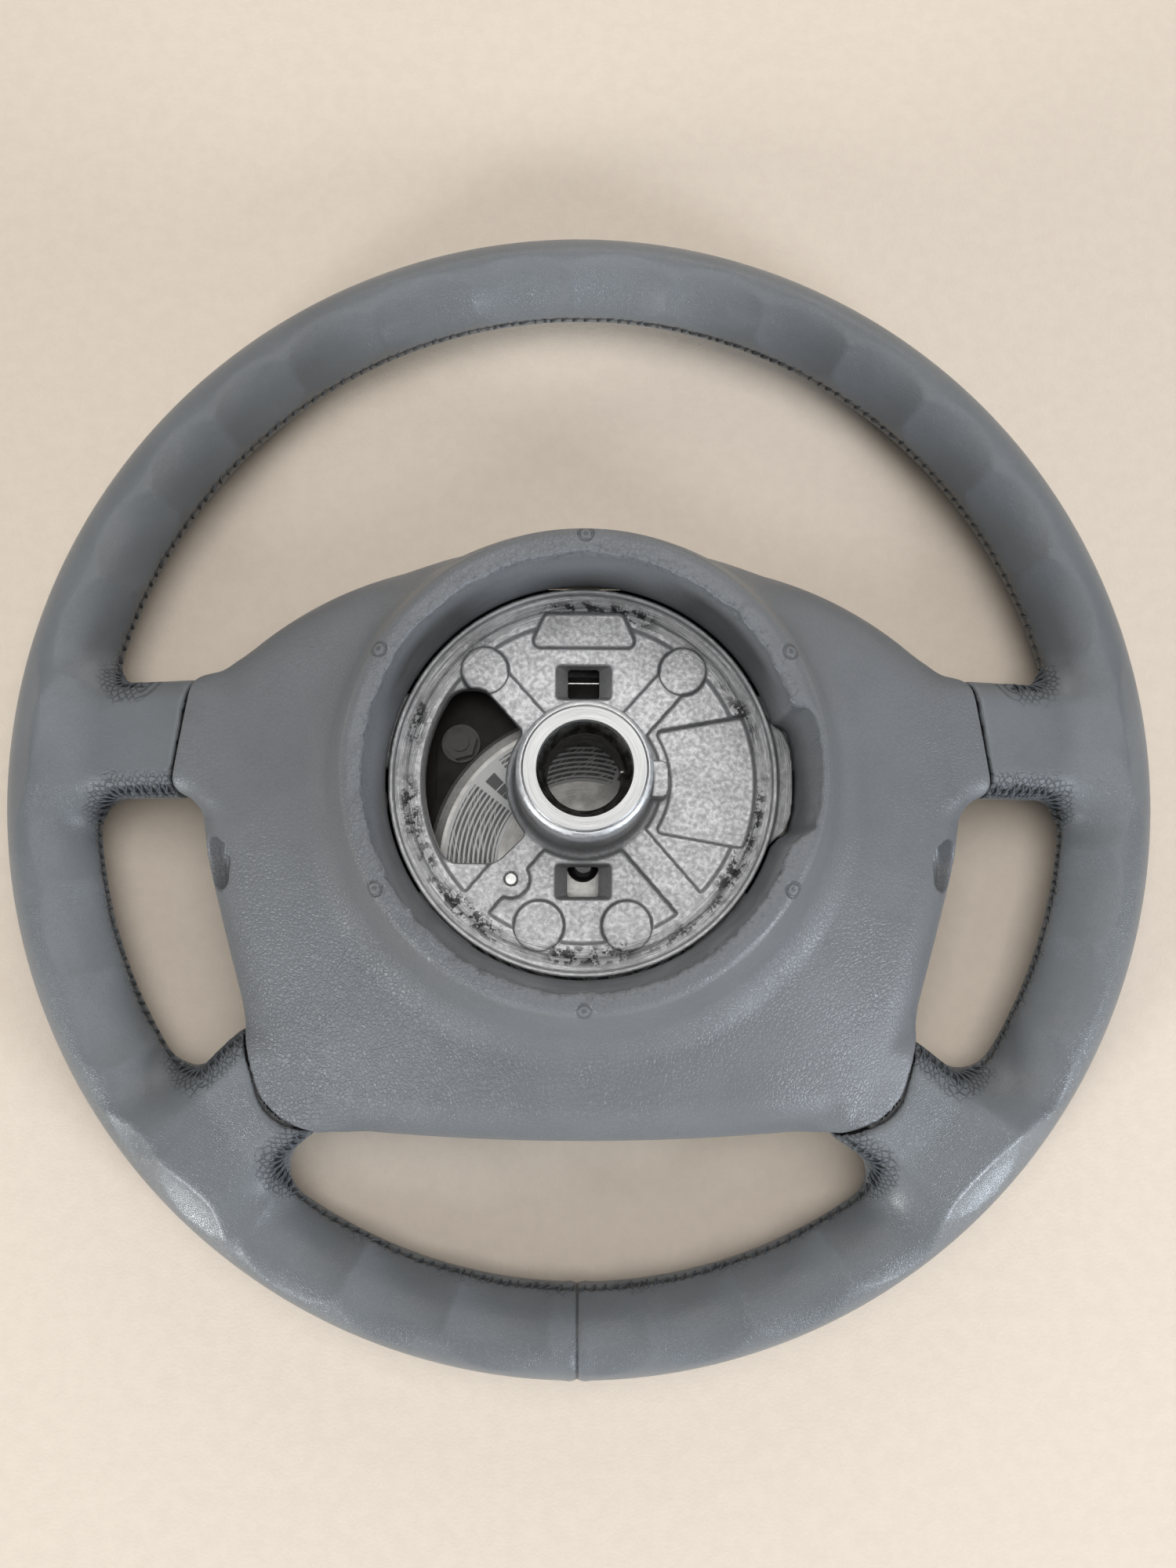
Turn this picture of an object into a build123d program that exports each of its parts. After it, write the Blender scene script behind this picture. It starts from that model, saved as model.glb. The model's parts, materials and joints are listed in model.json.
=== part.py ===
from build123d import *
import math
import os

# Driver's steering wheel with its airbag module, lying on the front of its rim.
# Millimetres. +X is the driver's left when seated, +Y is the top of the wheel, +Z points along the
# steering axis to the column. The steering axis is x = y = 0 and the rim's front plane is z = 0.

os.makedirs("parts", exist_ok=True)

# --- rim and spokes ---
wheel_diameter = 390.0
rim_section = 29.0
leather_thickness = 1.3
core_diameter = 10.0
rim_radius = (wheel_diameter - rim_section) / 2
rim_z = rim_section / 2
upper_spoke_y = 16.0
upper_spoke_width = 38.0
lower_spoke_centre = (109.5, -110.5)
lower_spoke_angle = -33.3
lower_spoke_width = 42.0
spoke_corner = 9.0
thread_diameter = 1.0

# --- armature ---
plate_radius = 61.5
plate_bottom = 42.0
plate_field = 46.8
plate_top = 48.0
lip_top = 49.4
lip_width = 1.6
band_inner = 55.5
shelf_radius = 66.4
shelf_angle = 16.0
boss_top = 91.2
boss_top_radius = 19.2
boss_base_radius = 21.5
boss_foot_radius = 24.6
arm_width = 24.0
lower_arm_angle = -45.3

# --- splined bush ---
bush_radius = 17.7
bush_top = 92.0
bush_bottom = 44.0
pilot_radius = 13.7
pilot_depth = 5.0
cone_throat_radius = 11.3
spline_top = 80.0
spline_bottom = 54.0
spline_tip_radius = 10.4
spline_teeth = 48
relief_radius = 11.9

# --- rear cover ---
cover_front = 11.0
cover_wall = 2.5
collar_bore_radius = 62.2
collar_top = 91.0
collar_bottom = 48.8
cover_shoulder_z = 58.0
cover_shoulder_radius = 68.0
cover_slope = 0.29
sleeve_gap = 0.5
access_point = (115.0, -26.0, 37.0)
access_tilt = 20.0
access_hole_radius = 6.2

# --- airbag module ---
press_travel = 2.5
pad_gap = 1.2
pad_wall = 3.0
pad_front = 3.0
pad_skirt_top = 17.0
tray_half_width = 60.0
tray_top_y = 36.0
tray_bottom_y = -90.0
tray_front = 13.0
tray_rear = 30.5
sheet = 1.5
inflator_y = -26.7
inflator_radius = 50.4
inflator_rear = 35.0
stud_circle_radius = 56.7
stud_radius = 3.0
clearance = 0.3

# --- horn parts ---
horn_plate_z = 38.5
guide_x = 73.0
guide_ys = (-10.0, -38.0)
guide_radius = 2.5
contact_x = 77.0
contact_y = -24.0

sides = (1, -1)


def save(piece, name):
    """Label a finished piece and write it as a STEP file."""
    piece.part.label = name
    export_step(piece.part, f"parts/{name}.step")


def outline_face(inset):
    """Plan outline of the rear cover, shrunk by inset."""
    with BuildSketch() as face:
        with BuildLine():
            ThreePointArc((-88, 53.1), (0, 74), (88, 53.1))
            Polyline((88, 53.1), (119, 37.5), (131, 34.5), (131, -3.5), (121, -5), (101, -104))
            ThreePointArc((101, -104), (0, -112.5), (-101, -104))
            Polyline((-101, -104), (-121, -5), (-131, -3.5), (-131, 34.5), (-119, 37.5), (-88, 53.1))
        make_face()
        fillet([v for v in face.vertices() if abs(v.Y + 104) < 1], 14)
        fillet([v for v in face.vertices() if abs(abs(v.X) - 131) < 0.1], 6)
        fillet([v for v in face.vertices() if abs(v.Y + 5) < 0.1], 6)
        if inset:
            offset(amount=-inset, mode=Mode.REPLACE)
    return face.sketch


def cover_height(radius, drop):
    """Height of the cover's sloping back at a radius, lowered by drop."""
    return cover_shoulder_z - cover_slope * (radius - cover_shoulder_radius) - drop


def cover_volume(inset, drop, bottom):
    """Closed volume under the cover's back, inside its outline."""
    far = 160.0
    with BuildPart() as volume:
        with BuildSketch(Plane.XY.offset(bottom)):
            add(outline_face(inset))
        extrude(amount=80)
        with BuildSketch(Plane.XZ):
            with BuildLine():
                Polyline(
                    (0, bottom), (far, bottom), (far, cover_height(far, drop)),
                    (cover_shoulder_radius, cover_height(cover_shoulder_radius, drop)),
                    (0, cover_height(cover_shoulder_radius, drop)), close=True)
            make_face()
        revolve(axis=Axis.Z, mode=Mode.INTERSECT)
    return volume.part


def upper_spoke(inset):
    """One upper spoke as a rounded bar that slopes from the hub cover down to the rim."""
    half = upper_spoke_width / 2 - inset
    with BuildPart() as spoke:
        with BuildSketch(Plane.XZ.offset(half - upper_spoke_y)):
            with BuildLine():
                Polyline(
                    (118, 43.3 - inset), (180, 24.5 - inset), (180, 4.5 + inset),
                    (118, 19.3 + inset), close=True)
            make_face()
        extrude(amount=-2 * half)
        long_edges = [e for e in spoke.edges() if abs(e.tangent_at(0.5).X) > 0.9]
        fillet(long_edges, spoke_corner - inset)
    return spoke.part


def lower_spoke(inset):
    """One lower spoke root, between the cover's bottom corner and the rim."""
    half = lower_spoke_width / 2 - inset
    across = Plane(
        origin=(*lower_spoke_centre, 0),
        x_dir=Vector(1, 0, 0).rotate(Axis.Z, lower_spoke_angle),
        z_dir=Vector(0, -1, 0).rotate(Axis.Z, lower_spoke_angle))
    with BuildPart() as spoke:
        with BuildSketch(across.offset(half)):
            with BuildLine():
                Polyline(
                    (-25, 38.5 - inset), (36, 24.5 - inset), (36, 4.5 + inset),
                    (-25, 10.0 + inset), close=True)
            make_face()
        extrude(amount=-2 * half)
        along = across.x_dir
        long_edges = [e for e in spoke.edges() if abs(e.tangent_at(0.5).dot(along)) > 0.9]
        fillet(long_edges, spoke_corner - inset)
    return spoke.part


def half_ring(section_radius):
    """Right half of a ring that follows the rim's centre line."""
    bottom_plane = Plane(origin=(0, 0, 0), x_dir=(0, -1, 0), z_dir=(-1, 0, 0))
    with BuildPart() as ring:
        with BuildSketch(bottom_plane):
            with Locations((rim_radius, rim_z)):
                Circle(section_radius)
        revolve(axis=Axis.Z, revolution_arc=180)
    return ring.part


def half_wrapped_body(inset):
    """Right half of the rim with its two spoke roots, shrunk by inset and clear of the rear cover."""
    with BuildPart() as body:
        add(half_ring(rim_section / 2 - inset))
        add(upper_spoke(inset))
        add(lower_spoke(inset))
        with BuildSketch(Plane.XY):
            add(outline_face(-sleeve_gap))
        extrude(amount=70, mode=Mode.SUBTRACT)
    return body.part


def arm_profile(plane, points, width):
    """A bar with the given side profile, centred on the plane."""
    with BuildPart() as arm:
        with BuildSketch(plane.offset(width / 2)):
            with BuildLine():
                Polyline(*points, close=True)
            make_face()
        extrude(amount=-width)
    return arm.part


def radial_plane(angle, shift=0.0):
    """Upright plane through the steering axis whose X runs outwards at the angle."""
    outward = Vector(1, 0, 0).rotate(Axis.Z, angle)
    return Plane(origin=(0, shift, 0), x_dir=outward, z_dir=Vector(0, -1, 0).rotate(Axis.Z, angle))


def screw_plane(side, distance):
    """Plane across a module screw's axis, distance inwards from the access hole."""
    tilt = math.radians(access_tilt)
    inward = Vector(-side * math.cos(tilt), 0, -math.sin(tilt))
    start = Vector(side * access_point[0], access_point[1], access_point[2])
    return Plane(origin=start + inward * distance, x_dir=(0, 1, 0), z_dir=inward)


upper_arm_points = (
    (50, 42), (50, 46.5), (78, 46), (131, 34), (168, 20), (187, 19.5),
    (187, 9.5), (168, 10), (131, 21.5), (62, 41))
lower_arm_points = (
    (50, 42), (50, 46.5), (78, 46), (150, 30.5), (168, 20), (189, 19.5),
    (189, 9.5), (168, 10), (150, 19.5), (118, 30.6), (62, 41))
# Cover screws: x, y and the height of the armature pad that each one clamps.
cover_screw_places = [(side * 88.0, upper_spoke_y, 44.6) for side in sides]
cover_screw_places += [(side * 69.0, -69.8, 43.1) for side in sides]
screw_pad_depth = 7.6
screw_reach = 10.2

# ---------------------------------------------------------------- hub armature
kidney_outer = 50.3
kidney_inner = 24.7
with BuildSketch() as kidney:
    with BuildLine():
        Polyline(
            (-12.5, 8.3), (-31.6, 29.3), (-62, 29.3), (-62, -26), (-27.5, -26), (-12.5, -11.5),
            close=True)
    make_face()
    Circle(kidney_outer, mode=Mode.INTERSECT)
    Circle(kidney_inner, mode=Mode.SUBTRACT)
    fillet([v for v in kidney.vertices() if Vector(v.X, v.Y).length > 40], 7)
    fillet([v for v in kidney.vertices() if Vector(v.X, v.Y).length < 26], 1.6)
    fillet([v for v in kidney.vertices() if abs(v.X + 27.5) < 0.1], 6)

with BuildSketch() as sector_pocket:
    with BuildLine():
        Polyline((22.2, 16.0), (52.0, 21.4), (60, 0), (52.0, -21.4), (22.2, -16.0), close=True)
    make_face()
    Circle(54.8, mode=Mode.INTERSECT)
    Circle(27.6, mode=Mode.SUBTRACT)
    fillet([v for v in sector_pocket.vertices() if abs(v.Y) > 10], 1.5)

with BuildSketch() as trapezoid_pocket:
    with BuildLine():
        Polyline((-12.6, 54.4), (12.6, 54.4), (17.6, 42.9), (-17.6, 42.9), close=True)
    make_face()
    fillet(trapezoid_pocket.vertices(), 2.4)

with BuildPart() as hub_armature:
    # plate, lip ring and scored outer band
    with BuildSketch(Plane.XZ):
        with BuildLine():
            Polyline(
                (0, plate_bottom), (plate_radius, plate_bottom), (plate_radius, lip_top),
                (plate_radius - lip_width, lip_top), (plate_radius - lip_width, plate_top - 0.5),
                (band_inner, plate_top - 0.5), (band_inner, plate_top), (51.5, plate_top),
                (50.5, plate_field), (0, plate_field), close=True)
        make_face()
    revolve(axis=Axis.Z)
    # diagonal ribs with their round pads
    for angle, half_rib in ((48.3, 5.0), (131.7, 5.0), (-49.0, 4.8), (-131.0, 4.8)):
        with BuildSketch(Plane.XY.offset(plate_bottom)):
            with Locations(Rot(0, 0, angle) * Pos(36, 0, 0)):
                Rectangle(32, 2 * half_rib)
        extrude(amount=plate_top - plate_bottom)
    # swelling of the lower left rib around the earth rivet
    with BuildSketch(Plane.XY.offset(plate_bottom)):
        with Locations((-22.6, -30.9)):
            Circle(5.8)
    extrude(amount=plate_top - plate_bottom)
    # boss around the splined bush, with a cast foot
    with BuildSketch(Plane.XZ):
        with BuildLine():
            Polyline(
                (0, plate_bottom), (boss_foot_radius, plate_bottom), (boss_foot_radius, plate_top),
                (boss_foot_radius - 2.2, plate_top + 0.8), (boss_base_radius, plate_top + 3),
                (boss_top_radius + 0.2, boss_top - 1.2), (boss_top_radius - 1.0, boss_top),
                (0, boss_top), close=True)
        make_face()
    revolve(axis=Axis.Z)
    # key lug beside the boss
    with BuildSketch(Plane.XY.offset(plate_field)):
        with Locations((21, 0)):
            RectangleRounded(10, 11.4, 2)
    extrude(amount=58 - plate_field)
    # shelf that shows through the collar's notch
    with BuildSketch(Plane.XY.offset(plate_bottom)):
        with BuildLine():
            Polyline((55, -24), (58.6, -20), (63.6, -15.6), (70, 0), (63.6, 15.6), (58.6, 20), (55, 24),
                     close=True)
        make_face()
        Circle(shelf_radius, mode=Mode.INTERSECT)
    extrude(amount=plate_top - plate_bottom)
    # spoke arms
    for side in sides:
        angle = 0 if side > 0 else 180
        add(arm_profile(radial_plane(angle, upper_spoke_y), upper_arm_points, arm_width))
        low_angle = lower_arm_angle if side > 0 else 180 - lower_arm_angle
        add(arm_profile(radial_plane(low_angle), lower_arm_points, arm_width))
    # pads and seats for the cover screws
    for x, y, pad_top in cover_screw_places:
        with BuildSketch(Plane.XY.offset(pad_top - screw_pad_depth - 1)):
            with Locations((x, y)):
                Circle(6)
        extrude(amount=screw_pad_depth + 1)
        with BuildSketch(Plane.XY.offset(20)):
            with Locations((x, y)):
                Circle(5)
        extrude(amount=pad_top - screw_pad_depth - 20, mode=Mode.SUBTRACT)
        with BuildSketch(Plane.XY.offset(20)):
            with Locations((x, y)):
                Circle(2.3)
        extrude(amount=30, mode=Mode.SUBTRACT)
    # side ears that the module screws pass through
    for side in sides:
        with BuildSketch(screw_plane(side, 20.5)):
            with Locations((12.5, 0)):
                Rectangle(45, 17)
        extrude(amount=5)
    # round pads at the rib ends
    with BuildSketch(Plane.XY.offset(plate_bottom)):
        with Locations((31.4, 35.1), (-31.4, 35.1)):
            Circle(7.4)
    extrude(amount=plate_top + 0.4 - plate_bottom)
    with BuildSketch(Plane.XY.offset(plate_bottom)):
        with Locations((13.75, -45.35), (-13.75, -45.35)):
            Circle(7.8)
    extrude(amount=plate_top + 0.2 - plate_bottom)
    # openings and pockets
    with BuildSketch(Plane.XY.offset(plate_bottom - 1)):
        add(kidney.sketch)
    extrude(amount=10, mode=Mode.SUBTRACT)
    with BuildSketch(Plane.XY.offset(44)):
        add(sector_pocket.sketch)
    extrude(amount=8, mode=Mode.SUBTRACT)
    with BuildSketch(Plane.XY.offset(44.5)):
        add(trapezoid_pocket.sketch)
    extrude(amount=8, mode=Mode.SUBTRACT)
    for middle in (31.7, -31.7):
        with BuildSketch(Plane.XY.offset(plate_bottom)):
            with Locations((0, middle)):
                Rectangle(10, 9.2)
        with BuildSketch(Plane.XY.offset(plate_top)):
            with Locations((0, middle)):
                Rectangle(20, 11.2)
        loft(mode=Mode.SUBTRACT)
    # rivet hole, bush bore and screw clearance holes
    with BuildSketch(Plane.XY.offset(plate_bottom - 1)):
        with Locations((-22.6, -30.9)):
            Circle(2.1)
    extrude(amount=10, mode=Mode.SUBTRACT)
    with BuildSketch(Plane.XY.offset(bush_bottom)):
        Circle(bush_radius)
    extrude(amount=60, mode=Mode.SUBTRACT)
    with BuildSketch(Plane.XY.offset(plate_bottom - 1)):
        Circle(15)
    extrude(amount=5, mode=Mode.SUBTRACT)
    for side in sides:
        with BuildSketch(screw_plane(side, 15)):
            Circle(3.4)
        extrude(amount=15, mode=Mode.SUBTRACT)
    # groove that holds the rim core
    add(half_ring(core_diameter / 2), mode=Mode.SUBTRACT)
    add(mirror(half_ring(core_diameter / 2), Plane.YZ), mode=Mode.SUBTRACT)
save(hub_armature, "hub_armature")

# ---------------------------------------------------------------- splined bush
with BuildPart() as splined_bush:
    with BuildSketch(Plane.XZ):
        with BuildLine():
            Polyline(
                (relief_radius, bush_bottom), (bush_radius, bush_bottom), (bush_radius, bush_top - 0.4),
                (bush_radius - 0.4, bush_top), (pilot_radius, bush_top),
                (pilot_radius, bush_top - pilot_depth), (cone_throat_radius, spline_top),
                (cone_throat_radius, spline_bottom), (relief_radius, spline_bottom), close=True)
        make_face()
    revolve(axis=Axis.Z)
    with BuildSketch(Plane.XY.offset(spline_bottom)):
        with PolarLocations(0, spline_teeth):
            with BuildLine():
                Polyline(
                    (spline_tip_radius, -0.18), (cone_throat_radius + 0.4, -0.5),
                    (cone_throat_radius + 0.4, 0.5), (spline_tip_radius, 0.18), close=True)
            make_face()
    extrude(amount=spline_top - spline_bottom)
save(splined_bush, "splined_bush")

# ---------------------------------------------------------------- earth rivet and wire
with BuildPart() as earth_rivet:
    with BuildSketch(Plane.XY.offset(plate_bottom - 1.5)):
        with Locations((-22.6, -30.9)):
            Circle(3.6)
    extrude(amount=1.5)
    with BuildSketch(Plane.XY.offset(plate_bottom)):
        with Locations((-22.6, -30.9)):
            Circle(2.1)
    extrude(amount=plate_top + 0.8 - plate_bottom)
    fillet(earth_rivet.faces().sort_by(Axis.Z)[-1].edges(), 0.6)
save(earth_rivet, "earth_rivet")

wire_y = 32.6
wire_z = 39.0
with BuildPart() as earth_wire:
    with BuildLine() as wire_path:
        FilletPolyline(
            (-9, wire_y, plate_bottom), (-9, wire_y, wire_z), (9, wire_y, wire_z),
            (9, wire_y, plate_bottom), radius=1.5)
    with BuildSketch(Plane(origin=(-9, wire_y, plate_bottom), z_dir=(0, 0, -1))):
        Circle(0.4)
    sweep(path=wire_path.line)
save(earth_wire, "earth_wire")

# ---------------------------------------------------------------- rim
with BuildPart() as rim_core:
    with BuildSketch(Plane.YZ):
        with Locations((rim_radius, rim_z)):
            Circle(core_diameter / 2)
    revolve(axis=Axis.Z)
save(rim_core, "rim_core")

with BuildPart() as rim_foam:
    add(half_wrapped_body(leather_thickness))
    add(hub_armature.part, mode=Mode.SUBTRACT)
    add(half_ring(core_diameter / 2), mode=Mode.SUBTRACT)
    mirror(about=Plane.YZ)
save(rim_foam, "rim_foam")

with BuildPart() as rim_leather:
    add(half_wrapped_body(0))
    add(half_wrapped_body(leather_thickness), mode=Mode.SUBTRACT)
    mirror(about=Plane.YZ)
save(rim_leather, "rim_leather")

# Seam thread along the inside of the rim, one run in each of the four windows.
thread_radius = rim_radius - rim_section / 2 - thread_diameter / 2 - 0.05
thread_runs = ((28, 152), (190, 202), (238, 302), (338, 350))
with BuildPart() as rim_thread:
    for first, last in thread_runs:
        start_plane = radial_plane(first)
        with BuildSketch(start_plane):
            with Locations((thread_radius, rim_z)):
                Circle(thread_diameter / 2)
        revolve(axis=Axis.Z, revolution_arc=last - first)
save(rim_thread, "rim_thread")

# ---------------------------------------------------------------- rear cover
collar_skirt = (
    (collar_bore_radius, collar_bottom), (65.2, collar_bottom), (65.2, 54), (82, 50.5), (80.5, 54.6),
    (69.2, 88.8), (67.4, collar_top), (collar_bore_radius, collar_top))
collar_setback = 0.6
notch_radius = 67.0
notch_angle = 16.0
cover_edge_radius = 5.0
with BuildPart() as collar:
    with BuildSketch(Plane.XZ):
        with BuildLine():
            Polyline(*collar_skirt, close=True)
        make_face()
    revolve(axis=Axis.Z)
    with BuildSketch(Plane.XY.offset(collar_bottom - 1)):
        add(outline_face(collar_setback))
    extrude(amount=collar_top - collar_bottom + 2, mode=Mode.INTERSECT)

with BuildPart() as rear_cover:
    add(cover_volume(0, 0, cover_front))
    slope = rear_cover.faces().filter_by(GeomType.CONE)[0]
    fillet([e for e in slope.edges() if e.center().Z < cover_shoulder_z - 0.5], cover_edge_radius)
    add(cover_volume(cover_wall, 3.0, cover_front - 1), mode=Mode.SUBTRACT)
    add(collar.part)
    with BuildSketch(Plane.XY.offset(cover_front)):
        Circle(collar_bore_radius)
    extrude(amount=90, mode=Mode.SUBTRACT)
    # notch cut into the collar
    with BuildSketch(Plane.XY.offset(collar_bottom - 1)):
        Circle(notch_radius)
        Circle(50, mode=Mode.SUBTRACT)
        with BuildLine():
            reach = 80 * math.tan(math.radians(notch_angle))
            Polyline((0, 0), (80, reach), (80, -reach), close=True)
        make_face(mode=Mode.INTERSECT)
    extrude(amount=50, mode=Mode.SUBTRACT)
    # slots that let the spoke arms out, open to the front
    slot_top = 37.0
    slot_width = arm_width + 3
    for side in sides:
        angle = 0 if side > 0 else 180
        low_angle = lower_arm_angle if side > 0 else 180 - lower_arm_angle
        slot = ((112, cover_front - 1), (112, slot_top + 2), (135, slot_top - 1), (135, cover_front - 1))
        add(arm_profile(radial_plane(angle, upper_spoke_y), slot, slot_width), mode=Mode.SUBTRACT)
        low_slot = ((126, cover_front - 1), (126, slot_top), (160, slot_top - 5), (160, cover_front - 1))
        add(arm_profile(radial_plane(low_angle), low_slot, slot_width), mode=Mode.SUBTRACT)
    # access holes for the module screws
    for side in sides:
        with BuildSketch(screw_plane(side, -8)):
            Circle(access_hole_radius)
        extrude(amount=16, mode=Mode.SUBTRACT)
    # bosses that stand on the armature and take the cover screws
    for x, y, pad_top in cover_screw_places:
        with BuildSketch(Plane.XY.offset(pad_top + 0.3)):
            with Locations((x, y)):
                Circle(4.5)
                Circle(1.9, mode=Mode.SUBTRACT)
        extrude(amount=cover_height(Vector(x, y).length, 3.0) + 1.0 - pad_top)
save(rear_cover, "rear_cover")

with BuildPart() as cover_screws:
    for x, y, pad_top in cover_screw_places:
        seat = pad_top - screw_pad_depth
        with BuildSketch(Plane.XY.offset(seat - 2.6)):
            with Locations((x, y)):
                Circle(4.2)
        extrude(amount=2.6)
        with BuildSketch(Plane.XY.offset(seat)):
            with Locations((x, y)):
                Circle(1.9)
        extrude(amount=screw_reach)
        with BuildSketch(Plane.XY.offset(seat - 2.6)):
            with Locations((x, y)):
                Rectangle(4, 0.9)
                Rectangle(0.9, 4)
        extrude(amount=1.4, mode=Mode.SUBTRACT)
save(cover_screws, "cover_screws")

# ---------------------------------------------------------------- horn plates and their parts
tab_distance = 25.5
for side, label in ((1, "horn_plate_left"), (-1, "horn_plate_right")):
    with BuildPart() as horn_plate:
        with BuildSketch(Plane.XY.offset(horn_plate_z)):
            with Locations((side * 75.5, -23)):
                RectangleRounded(25, 42, 3)
        extrude(amount=sheet)
        with BuildSketch(screw_plane(side, tab_distance)):
            with Locations((0, -side * 2.75)):
                Rectangle(22, 21.5)
        extrude(amount=sheet)
        with BuildSketch(Plane.XY.offset(horn_plate_z + sheet)):
            with Locations((side * 80, -26)):
                Rectangle(40, 40)
        extrude(amount=10, mode=Mode.SUBTRACT)
        with BuildSketch(Plane.XY.offset(horn_plate_z - 1)):
            with Locations([(side * guide_x, y) for y in guide_ys]):
                Circle(3.6)
        extrude(amount=4, mode=Mode.SUBTRACT)
        with BuildSketch(Plane.XY.offset(horn_plate_z - 1)):
            with Locations((side * contact_x, contact_y)):
                Circle(1.5)
        extrude(amount=4, mode=Mode.SUBTRACT)
        with BuildSketch(screw_plane(side, tab_distance - 4)):
            Circle(3.2)
        extrude(amount=8, mode=Mode.SUBTRACT)
    save(horn_plate, label)

with BuildPart() as tab_nuts:
    for side in sides:
        with BuildSketch(screw_plane(side, tab_distance + sheet)):
            RegularPolygon(5.4, 6)
            Circle(3.0, mode=Mode.SUBTRACT)
        extrude(amount=4)
save(tab_nuts, "tab_nuts")

with BuildPart() as module_screws:
    for side in sides:
        with BuildSketch(screw_plane(side, 16.5)):
            Circle(5.5)
        extrude(amount=4)
        with BuildSketch(screw_plane(side, 16.5)):
            RegularPolygon(2.8, 6)
        extrude(amount=2.5, mode=Mode.SUBTRACT)
        with BuildSketch(screw_plane(side, 20.5)):
            Circle(3.0)
        extrude(amount=12)
save(module_screws, "module_screws")

guide_points = [(side * guide_x, y) for side in sides for y in guide_ys]
with BuildPart() as guide_bushes:
    for point in guide_points:
        with BuildSketch(Plane.XY.offset(horn_plate_z)):
            with Locations(point):
                Circle(3.6)
        extrude(amount=sheet)
        with BuildSketch(Plane.XY.offset(horn_plate_z + sheet)):
            with Locations(point):
                Circle(4.6)
        extrude(amount=0.8)
        with BuildSketch(Plane.XY.offset(horn_plate_z)):
            with Locations(point):
                Circle(guide_radius + 0.15)
        extrude(amount=4, mode=Mode.SUBTRACT)
save(guide_bushes, "guide_bushes")

wing_top = tray_rear
with BuildPart() as guide_bolts:
    head_seat = horn_plate_z + sheet + 0.8
    for point in guide_points:
        with BuildSketch(Plane.XY.offset(wing_top - sheet)):
            with Locations(point):
                Circle(guide_radius)
        extrude(amount=head_seat - wing_top + sheet)
        with BuildSketch(Plane.XY.offset(head_seat)):
            with Locations(point):
                Circle(4.4)
        extrude(amount=2.2)
        with BuildSketch(Plane.XY.offset(wing_top - sheet - 1.4)):
            with Locations(point):
                Circle(3.6)
        extrude(amount=1.4)
save(guide_bolts, "guide_bolts")

contact_points = [(side * contact_x, contact_y) for side in sides]
with BuildPart() as fixed_contacts:
    for point in contact_points:
        with BuildSketch(Plane.XY.offset(horn_plate_z - 2.8)):
            with Locations(point):
                Circle(2.4)
        extrude(amount=2.8)
        with BuildSketch(Plane.XY.offset(horn_plate_z)):
            with Locations(point):
                Circle(1.5)
        extrude(amount=sheet + 0.4)
save(fixed_contacts, "fixed_contacts")

contact_face = horn_plate_z - 2.8 - press_travel - 0.1
with BuildPart() as moving_contacts:
    for point in contact_points:
        with BuildSketch(Plane.XY.offset(wing_top)):
            with Locations(point):
                Circle(2.4)
        extrude(amount=contact_face - wing_top)
save(moving_contacts, "moving_contacts")

spring_wire = 1.0
spring_radius = 4.2
spring_room = horn_plate_z - wing_top
spring_turns = 4
with BuildPart() as horn_springs:
    for point in guide_points:
        rise = spring_room - spring_wire - 0.1
        start = Vector(point[0], point[1], wing_top + spring_wire / 2 + 0.05)
        coil = Helix(rise / spring_turns, rise, spring_radius, center=start)
        with BuildSketch(Plane(origin=coil @ 0, z_dir=coil % 0)):
            Circle(spring_wire / 2)
        sweep(path=coil, is_frenet=True)
save(horn_springs, "horn_springs")

# ---------------------------------------------------------------- airbag module
tray_middle = (tray_top_y + tray_bottom_y) / 2
tray_height = tray_top_y - tray_bottom_y


def tray_sketch(grow, corner):
    """Rounded rectangle of the airbag tray, grown on every side."""
    with BuildSketch() as shape:
        with Locations((0, tray_middle)):
            RectangleRounded(2 * (tray_half_width + grow), tray_height + 2 * grow, corner)
    return shape.sketch


def pin_rows(depth):
    """Places and outward directions of the rivets round the tray's walls."""
    rows = []
    for side in sides:
        for y in (-70, -27, 16):
            rows.append(Plane(origin=(side * depth, y, 20), x_dir=(0, 1, 0), z_dir=(side, 0, 0)))
    for x in (-38, 0, 38):
        top = tray_top_y + depth - tray_half_width
        bottom = tray_bottom_y - depth + tray_half_width
        rows.append(Plane(origin=(x, top, 20), x_dir=(1, 0, 0), z_dir=(0, 1, 0)))
        rows.append(Plane(origin=(x, bottom, 20), x_dir=(1, 0, 0), z_dir=(0, -1, 0)))
    return rows


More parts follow.
